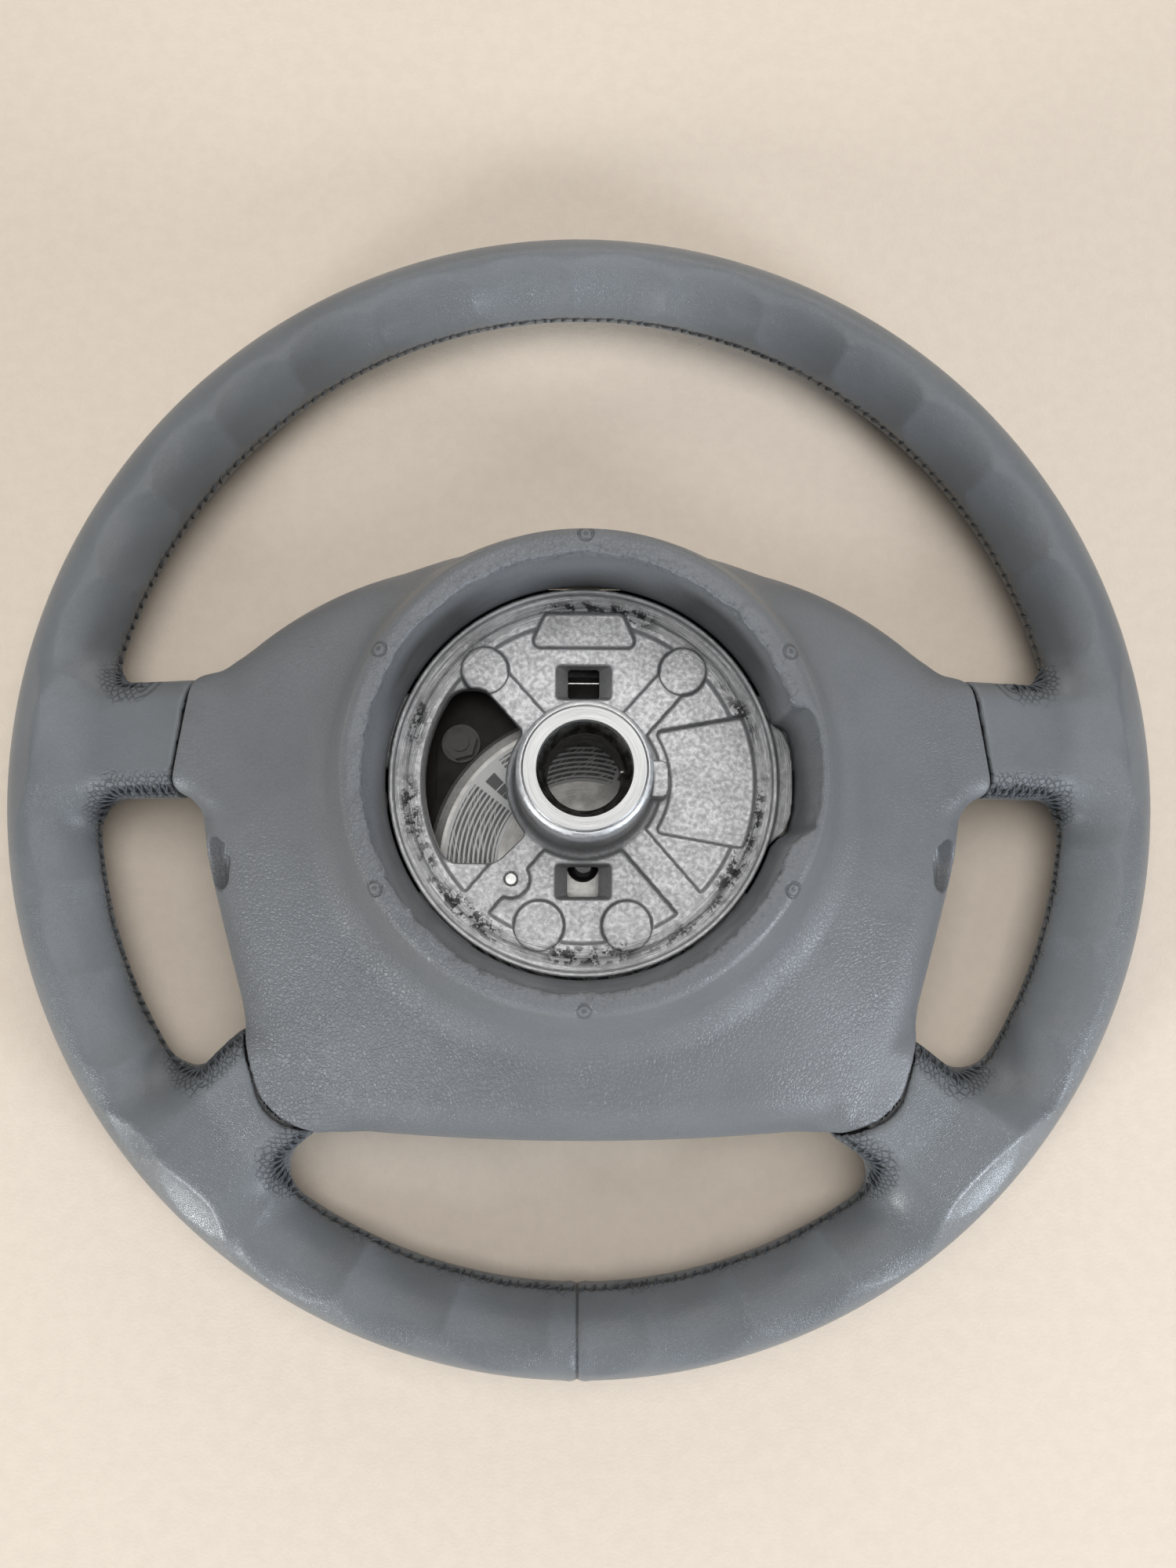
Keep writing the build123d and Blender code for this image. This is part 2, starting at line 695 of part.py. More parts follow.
pad_inset = cover_wall + pad_gap
pad_edge_radius = 2.0
rivet_radius = 2.0
frame_gap = 0.3
frame_wall = 3.0
with BuildPart() as airbag_cover:
    with BuildSketch(Plane.XY.offset(pad_front)):
        add(outline_face(pad_inset))
    extrude(amount=pad_skirt_top - pad_front)
    with BuildSketch(Plane.XZ):
        with BuildLine():
            ThreePointArc((-140, pad_front + 4.6), (0, pad_front), (140, pad_front + 4.6))
            Polyline((140, pad_front + 4.6), (140, 40), (-140, 40), (-140, pad_front + 4.6))
        make_face()
    extrude(amount=150, both=True, mode=Mode.INTERSECT)
    fillet(airbag_cover.faces().sort_by(Axis.Z)[0].edges(), pad_edge_radius)
    with BuildSketch(Plane.XY.offset(pad_front + 4.6 + pad_wall)):
        add(outline_face(pad_inset + pad_wall))
    extrude(amount=30, mode=Mode.SUBTRACT)
    with BuildSketch(Plane.XY.offset(pad_front + pad_wall)):
        add(tray_sketch(frame_gap, 8.3))
    extrude(amount=30, mode=Mode.SUBTRACT)
    with BuildSketch(Plane.XY.offset(pad_front + 4.6 + pad_wall - 1)):
        add(tray_sketch(frame_gap + frame_wall, 11.3))
        add(tray_sketch(frame_gap, 8.3), mode=Mode.SUBTRACT)
    extrude(amount=26 - (pad_front + 4.6 + pad_wall - 1))
    for plane in pin_rows(tray_half_width):
        with BuildSketch(plane):
            Circle(rivet_radius)
        extrude(amount=6, mode=Mode.SUBTRACT)
save(airbag_cover, "airbag_cover")

with BuildPart() as airbag_tray:
    with BuildSketch(Plane.XY.offset(tray_front)):
        add(tray_sketch(0, 8))
    extrude(amount=tray_rear - tray_front)
    with BuildSketch(Plane.XY.offset(tray_front - 1)):
        add(tray_sketch(-sheet, 8 - sheet))
    extrude(amount=tray_rear - sheet - tray_front + 1, mode=Mode.SUBTRACT)
    for side in sides:
        with BuildSketch(Plane.XY.offset(wing_top - sheet)):
            with Locations((side * 69, -24)):
                RectangleRounded(26, 42, 3)
        extrude(amount=sheet)
    with BuildSketch(Plane.XY.offset(tray_rear - sheet)):
        with Locations((0, inflator_y)):
            Circle(46)
            with PolarLocations(stud_circle_radius, 4, start_angle=45):
                Circle(stud_radius + clearance)
        with Locations(guide_points):
            Circle(guide_radius)
    extrude(amount=sheet, mode=Mode.SUBTRACT)
    for plane in pin_rows(tray_half_width - 5):
        with BuildSketch(plane):
            Circle(rivet_radius)
        extrude(amount=6, mode=Mode.SUBTRACT)
save(airbag_tray, "airbag_tray")

with BuildPart() as cover_rivets:
    for plane in pin_rows(tray_half_width - sheet - 1.2):
        with BuildSketch(plane):
            Circle(3.4)
        extrude(amount=1.2)
        with BuildSketch(plane.offset(1.2)):
            Circle(rivet_radius)
        extrude(amount=sheet + frame_gap + frame_wall)
        with BuildSketch(plane.offset(1.2 + sheet + frame_gap + frame_wall)):
            Circle(3.4)
        extrude(amount=1.2)
save(cover_rivets, "cover_rivets")

ring_top = tray_rear - sheet - 0.1
ring_sheet = 1.6
with BuildPart() as retainer_ring:
    with BuildSketch(Plane.XY.offset(ring_top - ring_sheet)):
        with Locations((0, inflator_y)):
            RectangleRounded(112, 112, 12)
            Circle(50, mode=Mode.SUBTRACT)
            with PolarLocations(stud_circle_radius, 4, start_angle=45):
                Circle(stud_radius, mode=Mode.SUBTRACT)
    extrude(amount=ring_sheet)
save(retainer_ring, "retainer_ring")

stud_end = 38.8
with BuildPart() as retainer_studs:
    with BuildSketch(Plane.XY.offset(ring_top - ring_sheet)):
        with Locations((0, inflator_y)):
            with PolarLocations(stud_circle_radius, 4, start_angle=45):
                Circle(stud_radius)
    extrude(amount=stud_end - ring_top + ring_sheet)
    with BuildSketch(Plane.XY.offset(ring_top - ring_sheet - 2)):
        with Locations((0, inflator_y)):
            with PolarLocations(stud_circle_radius, 4, start_angle=45):
                Circle(5)
    extrude(amount=2)
save(retainer_studs, "retainer_studs")

flange_top = tray_rear + 1.8
with BuildPart() as retainer_nuts:
    with BuildSketch(Plane.XY.offset(flange_top)):
        with Locations((0, inflator_y)):
            with PolarLocations(stud_circle_radius, 4, start_angle=45):
                Circle(6.3)
    extrude(amount=1.3)
    with BuildSketch(Plane.XY.offset(flange_top + 1.3)):
        with Locations((0, inflator_y)):
            with PolarLocations(stud_circle_radius, 4, start_angle=45):
                RegularPolygon(5.6, 6)
    extrude(amount=4.0)
    with BuildSketch(Plane.XY.offset(flange_top)):
        with Locations((0, inflator_y)):
            with PolarLocations(stud_circle_radius, 4, start_angle=45):
                Circle(stud_radius)
    extrude(amount=8, mode=Mode.SUBTRACT)
save(retainer_nuts, "retainer_nuts")

diffuser_radius = 45.0
diffuser_front = 10.6
can_wall = 2.0
igniter_radius = 8.0
with BuildPart() as inflator_diffuser:
    with BuildSketch(Plane.XY.offset(diffuser_front)):
        with Locations((0, inflator_y)):
            Circle(diffuser_radius)
    extrude(amount=tray_rear - diffuser_front)
    fillet(inflator_diffuser.faces().sort_by(Axis.Z)[0].edges(), 2.5)
    with BuildSketch(Plane.XY.offset(diffuser_front + can_wall)):
        with Locations((0, inflator_y)):
            Circle(diffuser_radius - can_wall)
    extrude(amount=40, mode=Mode.SUBTRACT)
    for step in range(16):
        outward = Vector(1, 0, 0).rotate(Axis.Z, step * 22.5)
        with BuildSketch(Plane(origin=(0, inflator_y, 18), x_dir=(0, 0, 1), z_dir=outward)):
            Circle(2)
        extrude(amount=60, mode=Mode.SUBTRACT)
save(inflator_diffuser, "inflator_diffuser")

with BuildPart() as inflator_flange:
    with BuildSketch(Plane.XY.offset(tray_rear)):
        with Locations((0, inflator_y)):
            RectangleRounded(96, 96, 12)
            Circle(53)
            Circle(diffuser_radius - can_wall, mode=Mode.SUBTRACT)
            with PolarLocations(stud_circle_radius, 4, start_angle=45):
                Circle(stud_radius + clearance, mode=Mode.SUBTRACT)
    extrude(amount=flange_top - tray_rear)
save(inflator_flange, "inflator_flange")

inflator_plane = Plane(origin=(0, inflator_y, 0), x_dir=(1, 0, 0), z_dir=(0, -1, 0))
with BuildPart() as inflator_closure:
    with BuildSketch(inflator_plane):
        with BuildLine():
            Polyline(
                (igniter_radius, inflator_rear - can_wall), (44, inflator_rear - can_wall),
                (44, flange_top), (inflator_radius, flange_top), (inflator_radius, flange_top + 0.6),
                (inflator_radius - 1.2, flange_top + 1.9), (inflator_radius - 3.8, inflator_rear),
                (igniter_radius, inflator_rear), close=True)
        make_face()
    revolve(axis=Axis((0, inflator_y, 0), (0, 0, 1)))
save(inflator_closure, "inflator_closure")

with BuildPart() as inflator_label:
    with BuildSketch(Plane.XY.offset(inflator_rear)):
        with Locations((0, inflator_y)):
            Circle(45.3)
            Circle(27.7, mode=Mode.SUBTRACT)
    extrude(amount=0.15)
save(inflator_label, "inflator_label")

with BuildPart() as igniter:
    with BuildSketch(Plane.XY.offset(17)):
        with Locations((0, inflator_y)):
            Circle(igniter_radius)
    extrude(amount=inflator_rear - 17)
    fillet(igniter.faces().sort_by(Axis.Z)[0].edges(), 2)
save(igniter, "igniter")

with BuildPart() as igniter_cap:
    with BuildSketch(Plane.XY.offset(inflator_rear)):
        with Locations((0, inflator_y)):
            Circle(5.2)
    extrude(amount=3.8)
    fillet(igniter_cap.faces().sort_by(Axis.Z)[-1].edges(), 3.4)
save(igniter_cap, "igniter_cap")

with BuildPart() as gas_generant:
    with BuildSketch(Plane.XY.offset(diffuser_front + can_wall + 1)):
        with Locations((0, inflator_y)):
            Circle(diffuser_radius - can_wall - 1)
            Circle(igniter_radius + 2, mode=Mode.SUBTRACT)
    extrude(amount=14)
save(gas_generant, "gas_generant")

bag_gap = 0.6
with BuildPart() as folded_airbag:
    with BuildSketch(Plane.XY.offset(pad_front + pad_wall + bag_gap)):
        add(tray_sketch(-sheet - bag_gap, 6))
    extrude(amount=24.6 - (pad_front + pad_wall + bag_gap))
    with BuildSketch(Plane.XY.offset(diffuser_front - bag_gap)):
        with Locations((0, inflator_y)):
            Circle(diffuser_radius + bag_gap)
    extrude(amount=30, mode=Mode.SUBTRACT)
    for plane in pin_rows(tray_half_width - sheet - 1.8):
        with BuildSketch(plane):
            Circle(4)
        extrude(amount=6, mode=Mode.SUBTRACT)
    with BuildSketch(Plane.XY.offset(ring_top - ring_sheet - 2.5)):
        with Locations((0, inflator_y)):
            with PolarLocations(stud_circle_radius, 4, start_angle=45):
                Circle(5.6)
    extrude(amount=6, mode=Mode.SUBTRACT)
save(folded_airbag, "folded_airbag")
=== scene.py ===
import itertools
import json
import math

import bmesh
import bpy
import numpy as np
from mathutils import Euler, Matrix, Vector
from mathutils.kdtree import KDTree


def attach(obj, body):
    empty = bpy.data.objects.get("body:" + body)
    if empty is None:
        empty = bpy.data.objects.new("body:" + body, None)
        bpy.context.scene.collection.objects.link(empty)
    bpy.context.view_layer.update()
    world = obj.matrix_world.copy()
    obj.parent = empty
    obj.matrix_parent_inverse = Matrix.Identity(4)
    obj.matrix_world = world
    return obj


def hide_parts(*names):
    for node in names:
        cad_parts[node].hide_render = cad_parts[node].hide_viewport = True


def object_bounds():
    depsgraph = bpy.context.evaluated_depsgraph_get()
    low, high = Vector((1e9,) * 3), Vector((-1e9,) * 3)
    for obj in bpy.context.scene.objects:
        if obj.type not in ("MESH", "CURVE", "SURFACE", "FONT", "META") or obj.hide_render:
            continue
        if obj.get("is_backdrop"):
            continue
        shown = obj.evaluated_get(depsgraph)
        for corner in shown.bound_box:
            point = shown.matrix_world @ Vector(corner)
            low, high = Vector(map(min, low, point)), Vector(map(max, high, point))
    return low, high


# Looks of a four-spoke steering wheel that lies on the front of its rim.
# Shapes are worked out in millimetres in the CAD frame and written in metres.
MM = 0.001
rng = np.random.default_rng(7)  # varies the stitches

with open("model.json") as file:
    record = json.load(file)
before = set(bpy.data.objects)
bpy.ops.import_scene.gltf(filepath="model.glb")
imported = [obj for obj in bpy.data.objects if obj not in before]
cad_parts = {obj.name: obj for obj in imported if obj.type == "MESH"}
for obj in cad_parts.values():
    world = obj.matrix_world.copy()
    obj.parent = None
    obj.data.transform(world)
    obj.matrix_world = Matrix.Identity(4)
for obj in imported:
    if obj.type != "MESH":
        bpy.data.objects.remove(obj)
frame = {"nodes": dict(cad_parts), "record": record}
nodes = frame["nodes"]
size_lines = [("CAD", *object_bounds())]


# ------------------------------------------------------------------ shape tools
def smooth(x, low, high):
    """Smooth step from 0 at low to 1 at high."""
    t = np.clip((x - low) / (high - low), 0, 1)
    return t * t * (3 - 2 * t)


def bell(x, width):
    """1 at x = 0, fading to nothing beyond about twice the width."""
    return np.exp(-(x / width) ** 2)


def join(a, b, r):
    """Union of two distances with a fillet of radius r."""
    return np.maximum(np.minimum(a, b), r) - np.hypot(np.maximum(r - a, 0), np.maximum(r - b, 0))


def meet(a, b, r):
    """Intersection of two distances with a rounded edge of radius r."""
    return np.minimum(np.maximum(a, b), -r) + np.hypot(np.maximum(a + r, 0), np.maximum(b + r, 0))


def ripple(p, wavelength, seed, count=7):
    """Smooth random bumps between about -1 and 1, as a sum of waves in random directions."""
    g = np.random.default_rng(seed)
    total = np.zeros(len(p))
    for _ in range(count):
        k = g.normal(size=3)
        k *= 2 * math.pi / wavelength * g.uniform(0.6, 1.5) / np.linalg.norm(k)
        total += np.sin(p @ k + g.uniform(0, 6.28))
    return total / math.sqrt(count * 1.6)


def arc_through(x, y_end, y_mid, count=26):
    """Points of a shallow arc from (-x, y_end) to (x, y_end) whose middle is at (0, y_mid)."""
    rise = y_mid - y_end
    radius = (x * x + rise * rise) / (2 * rise)
    span = math.asin(x / abs(radius))
    turn = np.linspace(-span, span, count)
    return [(abs(radius) * math.sin(a), y_mid - radius + radius * math.cos(a), 0) for a in turn]


def mirrored(corners):
    """The same (x, y, r) corners on the left, in reverse order."""
    return [(-x, y, r) for x, y, r in reversed(corners)]


def rounded(corners):
    """Closed polygon as points, with each (x, y, r) corner filleted."""
    out = []
    for i, (x, y, r) in enumerate(corners):
        p = np.array([x, y], float)
        if r == 0:
            out.append(p)
            continue
        a = np.array(corners[i - 1][:2]) - p
        b = np.array(corners[(i + 1) % len(corners)][:2]) - p
        a, b = a / np.linalg.norm(a), b / np.linalg.norm(b)
        half = math.acos(np.clip(a @ b, -1, 1)) / 2
        mid = (a + b) / np.linalg.norm(a + b)
        centre = p + mid * r / math.sin(half)
        start, end = p + a * r / math.tan(half) - centre, p + b * r / math.tan(half) - centre
        for t in np.linspace(0, 1, 9):
            v = start * (1 - t) + end * t
            out.append(centre + v / np.linalg.norm(v) * r)
    return np.array(out)


class Plan:
    """Signed distance to a closed plan outline, sampled on a fine grid."""

    def __init__(self, points, pitch=0.5, margin=32.0):
        self.low = points.min(0) - margin
        self.pitch = pitch
        count = np.ceil((points.max(0) + margin - self.low) / pitch).astype(int) + 1
        gx, gy = np.meshgrid(*[self.low[i] + np.arange(count[i]) * pitch for i in (0, 1)], indexing="ij")
        best = np.full(gx.shape, 1e9)
        inside = np.zeros(gx.shape, bool)
        for a, b in zip(points, np.roll(points, -1, 0)):
            d = b - a
            t = np.clip(((gx - a[0]) * d[0] + (gy - a[1]) * d[1]) / max(d @ d, 1e-12), 0, 1)
            best = np.minimum(best, (gx - a[0] - t * d[0]) ** 2 + (gy - a[1] - t * d[1]) ** 2)
            if a[1] != b[1]:
                crosses = (gy >= min(a[1], b[1])) & (gy < max(a[1], b[1]))
                inside ^= crosses & (gx < a[0] + (gy - a[1]) * d[0] / d[1])
        self.grid = np.where(inside, -1, 1) * np.sqrt(best)

    def __call__(self, x, y):
        u = np.clip((x - self.low[0]) / self.pitch, 0, self.grid.shape[0] - 1.001)
        v = np.clip((y - self.low[1]) / self.pitch, 0, self.grid.shape[1] - 1.001)
        i, j = u.astype(int), v.astype(int)
        s, t = u - i, v - j
        g = self.grid
        near = g[i, j] * (1 - s) + g[i + 1, j] * s
        far = g[i, j + 1] * (1 - s) + g[i + 1, j + 1] * s
        return near * (1 - t) + far * t


def gradient(field, p, step=0.15):
    """Slope of a field at each point, by central differences."""
    g = np.empty_like(p)
    for axis in range(3):
        e = np.zeros(3)
        e[axis] = step
        g[:, axis] = (field(p + e) - field(p - e)) / (2 * step)
    return g


def settle(field, p, level=0.0, rounds=3):
    """Moves points onto the surface where field equals level."""
    for _ in range(rounds):
        g = gradient(field, p)
        p = p - g * ((field(p) - level) / np.maximum((g * g).sum(1), 0.2))[:, None]
    return p


def surface_net(field, low, high, pitch, block=6):
    """Quad mesh of the surface where field is zero: (vertices, quads). Field takes points as rows."""
    low = np.array(low, float)
    counts = np.ceil((np.array(high, float) - low) / (pitch * block)).astype(int)
    shape = counts * block + 1
    centres = low + (np.indices(counts).reshape(3, -1).T + 0.5) * pitch * block
    coarse = field(centres).reshape(counts)
    near = np.abs(coarse) < pitch * block * 1.35
    spread = np.where(coarse < 0, -9.0, 9.0)
    for axis in range(3):
        near, spread = np.repeat(near, block, axis), np.repeat(spread, block, axis)
    mask = np.zeros(shape, bool)
    for corner in itertools.product((0, 1), repeat=3):
        mask[tuple(slice(c, c + n) for c, n in zip(corner, near.shape))] |= near
    values = np.full(shape, 9.0)
    values[:-1, :-1, :-1] = spread
    index = np.argwhere(mask)
    for part in np.array_split(np.arange(len(index)), max(1, len(index) // 400000)):
        values[tuple(index[part].T)] = field(low + index[part] * pitch)
    inside = values < 0
    hits = sum(inside[tuple(slice(c, c + n) for c, n in zip(k, shape - 1))].astype(int)
               for k in itertools.product((0, 1), repeat=3))
    cells = np.argwhere((hits > 0) & (hits < 8))
    number = np.full(shape, -1)
    number[tuple(cells.T)] = np.arange(len(cells))
    total, crossings = np.zeros((len(cells), 3)), np.zeros(len(cells))
    for axis in range(3):
        for pair in itertools.product((0, 1), repeat=2):
            a = np.insert(np.array(pair), axis, 0)
            b = np.insert(np.array(pair), axis, 1)
            va, vb = values[tuple((cells + a).T)], values[tuple((cells + b).T)]
            cut = (va < 0) != (vb < 0)
            t = va[cut] / (va[cut] - vb[cut])
            total[cut] += a + t[:, None] * (b - a)
            crossings[cut] += 1
    verts = low + (cells + total / crossings[:, None]) * pitch
    quads = []
    for axis in range(3):
        u, v = np.eye(3, dtype=int)[(axis + 1) % 3], np.eye(3, dtype=int)[(axis + 2) % 3]
        first = [slice(1, None)] * 3
        second = [slice(1, None)] * 3
        first[axis], second[axis] = slice(0, -1), slice(1, None)
        start = inside[tuple(first)]
        change = start != inside[tuple(second)]
        n = np.argwhere(change) + 1
        n[:, axis] -= 1
        q = np.stack([number[tuple(m.T)] for m in (n, n - u, n - u - v, n - v)], 1)
        flip = ~start[change]
        q[flip] = q[flip][:, ::-1]
        quads.append(q[(q >= 0).all(1)])
    return verts, np.concatenate(quads)


def make_object(name, verts, faces):
    """Smooth-shaded object from vertices in millimetres."""
    mesh = bpy.data.meshes.new(name)
    mesh.from_pydata((np.asarray(verts) * MM).tolist(), [], [list(map(int, f)) for f in faces])
    mesh.validate()
    mesh.update()
    obj = bpy.data.objects.new(name, mesh)
    bpy.context.scene.collection.objects.link(obj)
    mesh.polygons.foreach_set("use_smooth", np.ones(len(mesh.polygons), bool))
    return obj


def keep_attribute(obj, name, values):
    """Stores one number per vertex for the materials to read."""
    layer = obj.data.attributes.new(name, "FLOAT", "POINT")
    layer.data.foreach_set("value", np.asarray(values, np.float32))


# ------------------------------------------------------------------ plan outlines
top_edge = [(x, 73.2 - 26.5 * abs(x / 107) ** 3, 0) for x in np.linspace(-114, 114, 58)]
bottom_edge = arc_through(84, -112.2, -115.1)[::-1]
right_side = [
    (118.5, 37.2, 8), (127, 34.8, 6), (133.4, -3.2, 5), (126, -5.2, 6), (123.2, -25, 40), (102, -106.5, 15)]
outline = Plan(rounded([*top_edge, *right_side, *bottom_edge, *mirrored(right_side)]))
# The same outline carried on past the spoke mouths: it shapes the shoulders.
past_spokes = [
    (118.5, 37.2, 8), (160, 33.5, 0), (160, -4.8, 0), (126, -5.2, 6), (123.2, -25, 40),
    (108, -83.5, 10), (150, -112, 0), (118, -141, 0), (81, -112.4, 7)]
shoulder_plan = Plan(rounded([*top_edge, *past_spokes, *bottom_edge[1:-1], *mirrored(past_spokes)]))
# The opening in the collar's right side, where the shelf lies.
notch_plan = Plan(rounded([
    (54, 20, 0), (58.6, 18.4, 1.5), (62.6, 17.4, 1.2), (64.6, 15.6, 1.2), (66.2, 10, 2), (67, 1, 6),
    (66.5, -9, 3), (64.6, -16.2, 1.2), (61, -18.2, 1), (58.6, -20.6, 1), (54, -22, 0),
]), pitch=0.25, margin=14)

# ------------------------------------------------------------------ rim with its leather
RIM_OUTER = 195.0
RIM_Z = 14.5
RIM_HALF_DEPTH = 14.4
CORE_RADIUS, CORE_THICKNESS = 180.5, 5.2
FINGER_COUNT = 33
SPOKE_REACH = 176.0  # a spoke ends at this radius, inside the rim
SPOKE_EDGE = 9.0  # rounding of a spoke's long edges
UPPER_START, UPPER_MIDDLE, UPPER_HALF_WIDTH = 118.0, 15.4, 19.4
LOWER_START, LOWER_TURN, LOWER_HALF_WIDTH = (109.5, -110.5), math.radians(-33.3), 20.5
SEAM_Z = 11.0  # height of the seam along the rim
SEAM_DROP = 3.6  # how far below a spoke's back the seam lies
LEATHER_THICKNESS = 1.2
RIM_BOX = (-198, -198, -2), (198, 198, 46)


def rim_half_width(angle):
    """Half of the rim's width seen from behind: fuller at the sides, slim at the top."""
    return 13.3 + 1.4 * np.cos(angle) ** 2 + 1.75 * np.maximum(-np.sin(angle), 0) ** 1.5


def upper_back(x):
    """Height of an upper spoke's back, which falls away outwards."""
    return 43.3 - (np.abs(x) - UPPER_START) * 0.303


def lower_back(along):
    """Height of a lower spoke's back at a place along the spoke."""
    return 38.5 - (along + 25) * 0.2295


def rim_field(p):
    """Distance to the rim's wrapped surface, spokes included, before it is cut at the hub cover."""
    x, y, z = p.T
    r, angle = np.hypot(x, y), np.arctan2(y, x)
    half = rim_half_width(angle)
    u, w = r - (RIM_OUTER - half), z - RIM_Z
    size = np.hypot(u / half, w / RIM_HALF_DEPTH)
    ring = (size - 1) * (half + RIM_HALF_DEPTH) / 2
    # finger scallops on the inner half of the back
    poloidal = np.degrees(np.arctan2(w, -u))
    turns = FINGER_COUNT * (angle + 0.11 + 0.012 * np.sin(5 * angle + 1)) / (2 * math.pi)
    lobe = 2 * (turns - np.floor(turns)) - 1
    lower = smooth(-np.sin(angle), 0.2, 0.8)
    reach = 46 + 22 * lower
    dimple = 1.25 - lobe ** 2 - ((poloidal - 50 - 8 * lower) / reach) ** 2
    flat = 0.4 * smooth(poloidal, 5, 40) * (1 - smooth(poloidal, 70, 110))
    ring = ring + flat + (1.7 + 0.7 * lower) * np.maximum(dimple, 0)
    sx, sign = np.abs(x), np.sign(x)
    # upper spokes
    front = 19.3 - (sx - UPPER_START) * 0.239
    side = np.abs(y - (UPPER_MIDDLE + 0.5 * sign)) - UPPER_HALF_WIDTH
    upper = meet(side, np.maximum(z - upper_back(x), front - z) * 0.95, SPOKE_EDGE)
    upper = np.maximum(upper, r - SPOKE_REACH)
    # lower spokes, whose inner ends bend a little, the left one more than the right
    run, rise = math.cos(LOWER_TURN), math.sin(LOWER_TURN)
    along = (sx - LOWER_START[0]) * run + (y - LOWER_START[1]) * rise
    across = -(sx - LOWER_START[0]) * rise + (y - LOWER_START[1]) * run
    across = across - (4.2 - 1.8 * sign) * (1 - smooth(along, -22, 25))
    front = 10.0 - (along + 25) * 0.09
    side = np.abs(across) - LOWER_HALF_WIDTH
    lower_spoke = meet(side, np.maximum(z - lower_back(along), front - z) * 0.97, SPOKE_EDGE)
    lower_spoke = np.maximum(lower_spoke, r - SPOKE_REACH)
    return join(join(ring, upper, 13), lower_spoke, 15)


def seam_height(x, y):
    """Height of the seam line: near the rim's middle, rising onto the back of each spoke root."""
    r = np.hypot(x, y)
    rise = smooth(SPOKE_REACH - r, 6, 22)
    along = (np.abs(x) - LOWER_START[0]) * 0.836 - (y - LOWER_START[1]) * 0.549
    root = np.where(y > -45, upper_back(x) - SEAM_DROP, lower_back(along) - SEAM_DROP)
    return SEAM_Z + rise * (root - SEAM_Z)


def window_seam(centre, first, last, step=0.4):
    """Seam line round one window, found by looking outwards from a point in it, from one angle to another."""
    turn = np.radians(np.arange(first, last, step))
    d = np.stack([np.cos(turn), np.sin(turn)], 1)
    reach = np.arange(8, 190, 0.5)
    hit = np.full(len(turn), np.nan)
    alive = np.ones(len(turn), bool)
    for t in reach:
        x, y = centre[0] + d[:, 0] * t, centre[1] + d[:, 1] * t
        z = seam_height(x, y)
        f = rim_field(np.stack([x, y, z], 1))
        found = alive & (f < 0) & np.isnan(hit)
        hit[found] = t - 0.25
        alive &= (outline(x, y) > 1.6) & np.isnan(hit)
    ok = ~np.isnan(hit)
    x, y = centre[0] + d[ok, 0] * hit[ok], centre[1] + d[ok, 1] * hit[ok]
    return np.stack([x, y, seam_height(x, y)], 1)


def even_path(points, pitch):
    """Points at an even pitch along a line."""
    step = np.linalg.norm(np.diff(points, axis=0), axis=1)
    total = np.concatenate([[0], np.cumsum(step)])
    where = np.arange(0, total[-1], pitch)
    return np.stack([np.interp(where, total, points[:, i]) for i in range(3)], 1)


def longest_run(points, gap=6.0):
    """The longest stretch of a line with no jump in it."""
    breaks = np.where(np.linalg.norm(np.diff(points, axis=0), axis=1) > gap)[0] + 1
    return max(np.split(points, breaks), key=len)


SEAM_PITCH = 0.5
WINDOWS = (((0, 104), -55, 235), ((141, -42), -130, 130), ((-141, -42), 50, 310), ((0, -134), -235, 55))
seams = []
for centre, first, last in WINDOWS:
    line = longest_run(window_seam(centre, first, last))
    seams.append(even_path(settle(rim_field, line, rounds=4), SEAM_PITCH))
seam_points = np.concatenate(seams)
# each seam's lengths start at its own thousand, so that the creases of two seams don't run on
seam_lengths = np.concatenate([np.arange(len(s)) * SEAM_PITCH + 1000.0 * i for i, s in enumerate(seams)])
tree = KDTree(len(seam_points))
for i, q in enumerate(seam_points):
    tree.insert(q, i)
tree.balance()


def near_seam(p):
    """For each point: distance to the seam, length along it, and the seam's own radius."""
    found = [tree.find(q) for q in p]
    index = np.array([f[1] for f in found])
    return np.array([f[2] for f in found]), seam_lengths[index], np.hypot(*seam_points[index, :2].T)


def leather_field(p):
    """The wrapped surface with the end faces that meet the hub cover."""
    return np.maximum(meet(rim_field(p), 0.6 - outline(p[:, 0], p[:, 1]), 1.6), 0.1 - p[:, 2])


verts, quads = surface_net(leather_field, *RIM_BOX, 1.3)
verts = settle(leather_field, verts)
distance, along, seam_radius = near_seam(verts)
normal = gradient(leather_field, verts)
normal /= np.linalg.norm(normal, axis=1)[:, None]
root = 1 - smooth(seam_radius, 158, 170)
butt = np.where(verts[:, 1] < -150, np.abs(verts[:, 0] + 1.0), 9.0)  # from the butt joint at the bottom
pinch = 0.55 * bell(distance, 1.1) + 0.55 * bell(butt, 0.9) - 0.22 * bell(butt - 2.6, 1.4)
tuck = 0.3 * root * bell(distance, 5.5) * ripple(verts, 4.5, 21)
verts = verts - normal * (pinch + tuck)[:, None]
ends = outline(verts[:, 0], verts[:, 1]) < 0.9
quads = quads[~ends[quads].all(1)]
used = np.unique(quads)
lookup = np.full(len(verts), -1)
lookup[used] = np.arange(len(used))
rim_leather = make_object("rim_leather_skin", verts[used], lookup[quads])
keep_attribute(rim_leather, "seam", bell(distance[used], 1.3))
keep_attribute(rim_leather, "butt", bell(butt[used], 0.8))
keep_attribute(rim_leather, "gather", root[used] * bell(distance[used], 6.5))
keep_attribute(rim_leather, "along", along[used])
keep_attribute(rim_leather, "beside", distance[used])
skin = rim_leather.modifiers.new("skin", "SOLIDIFY")
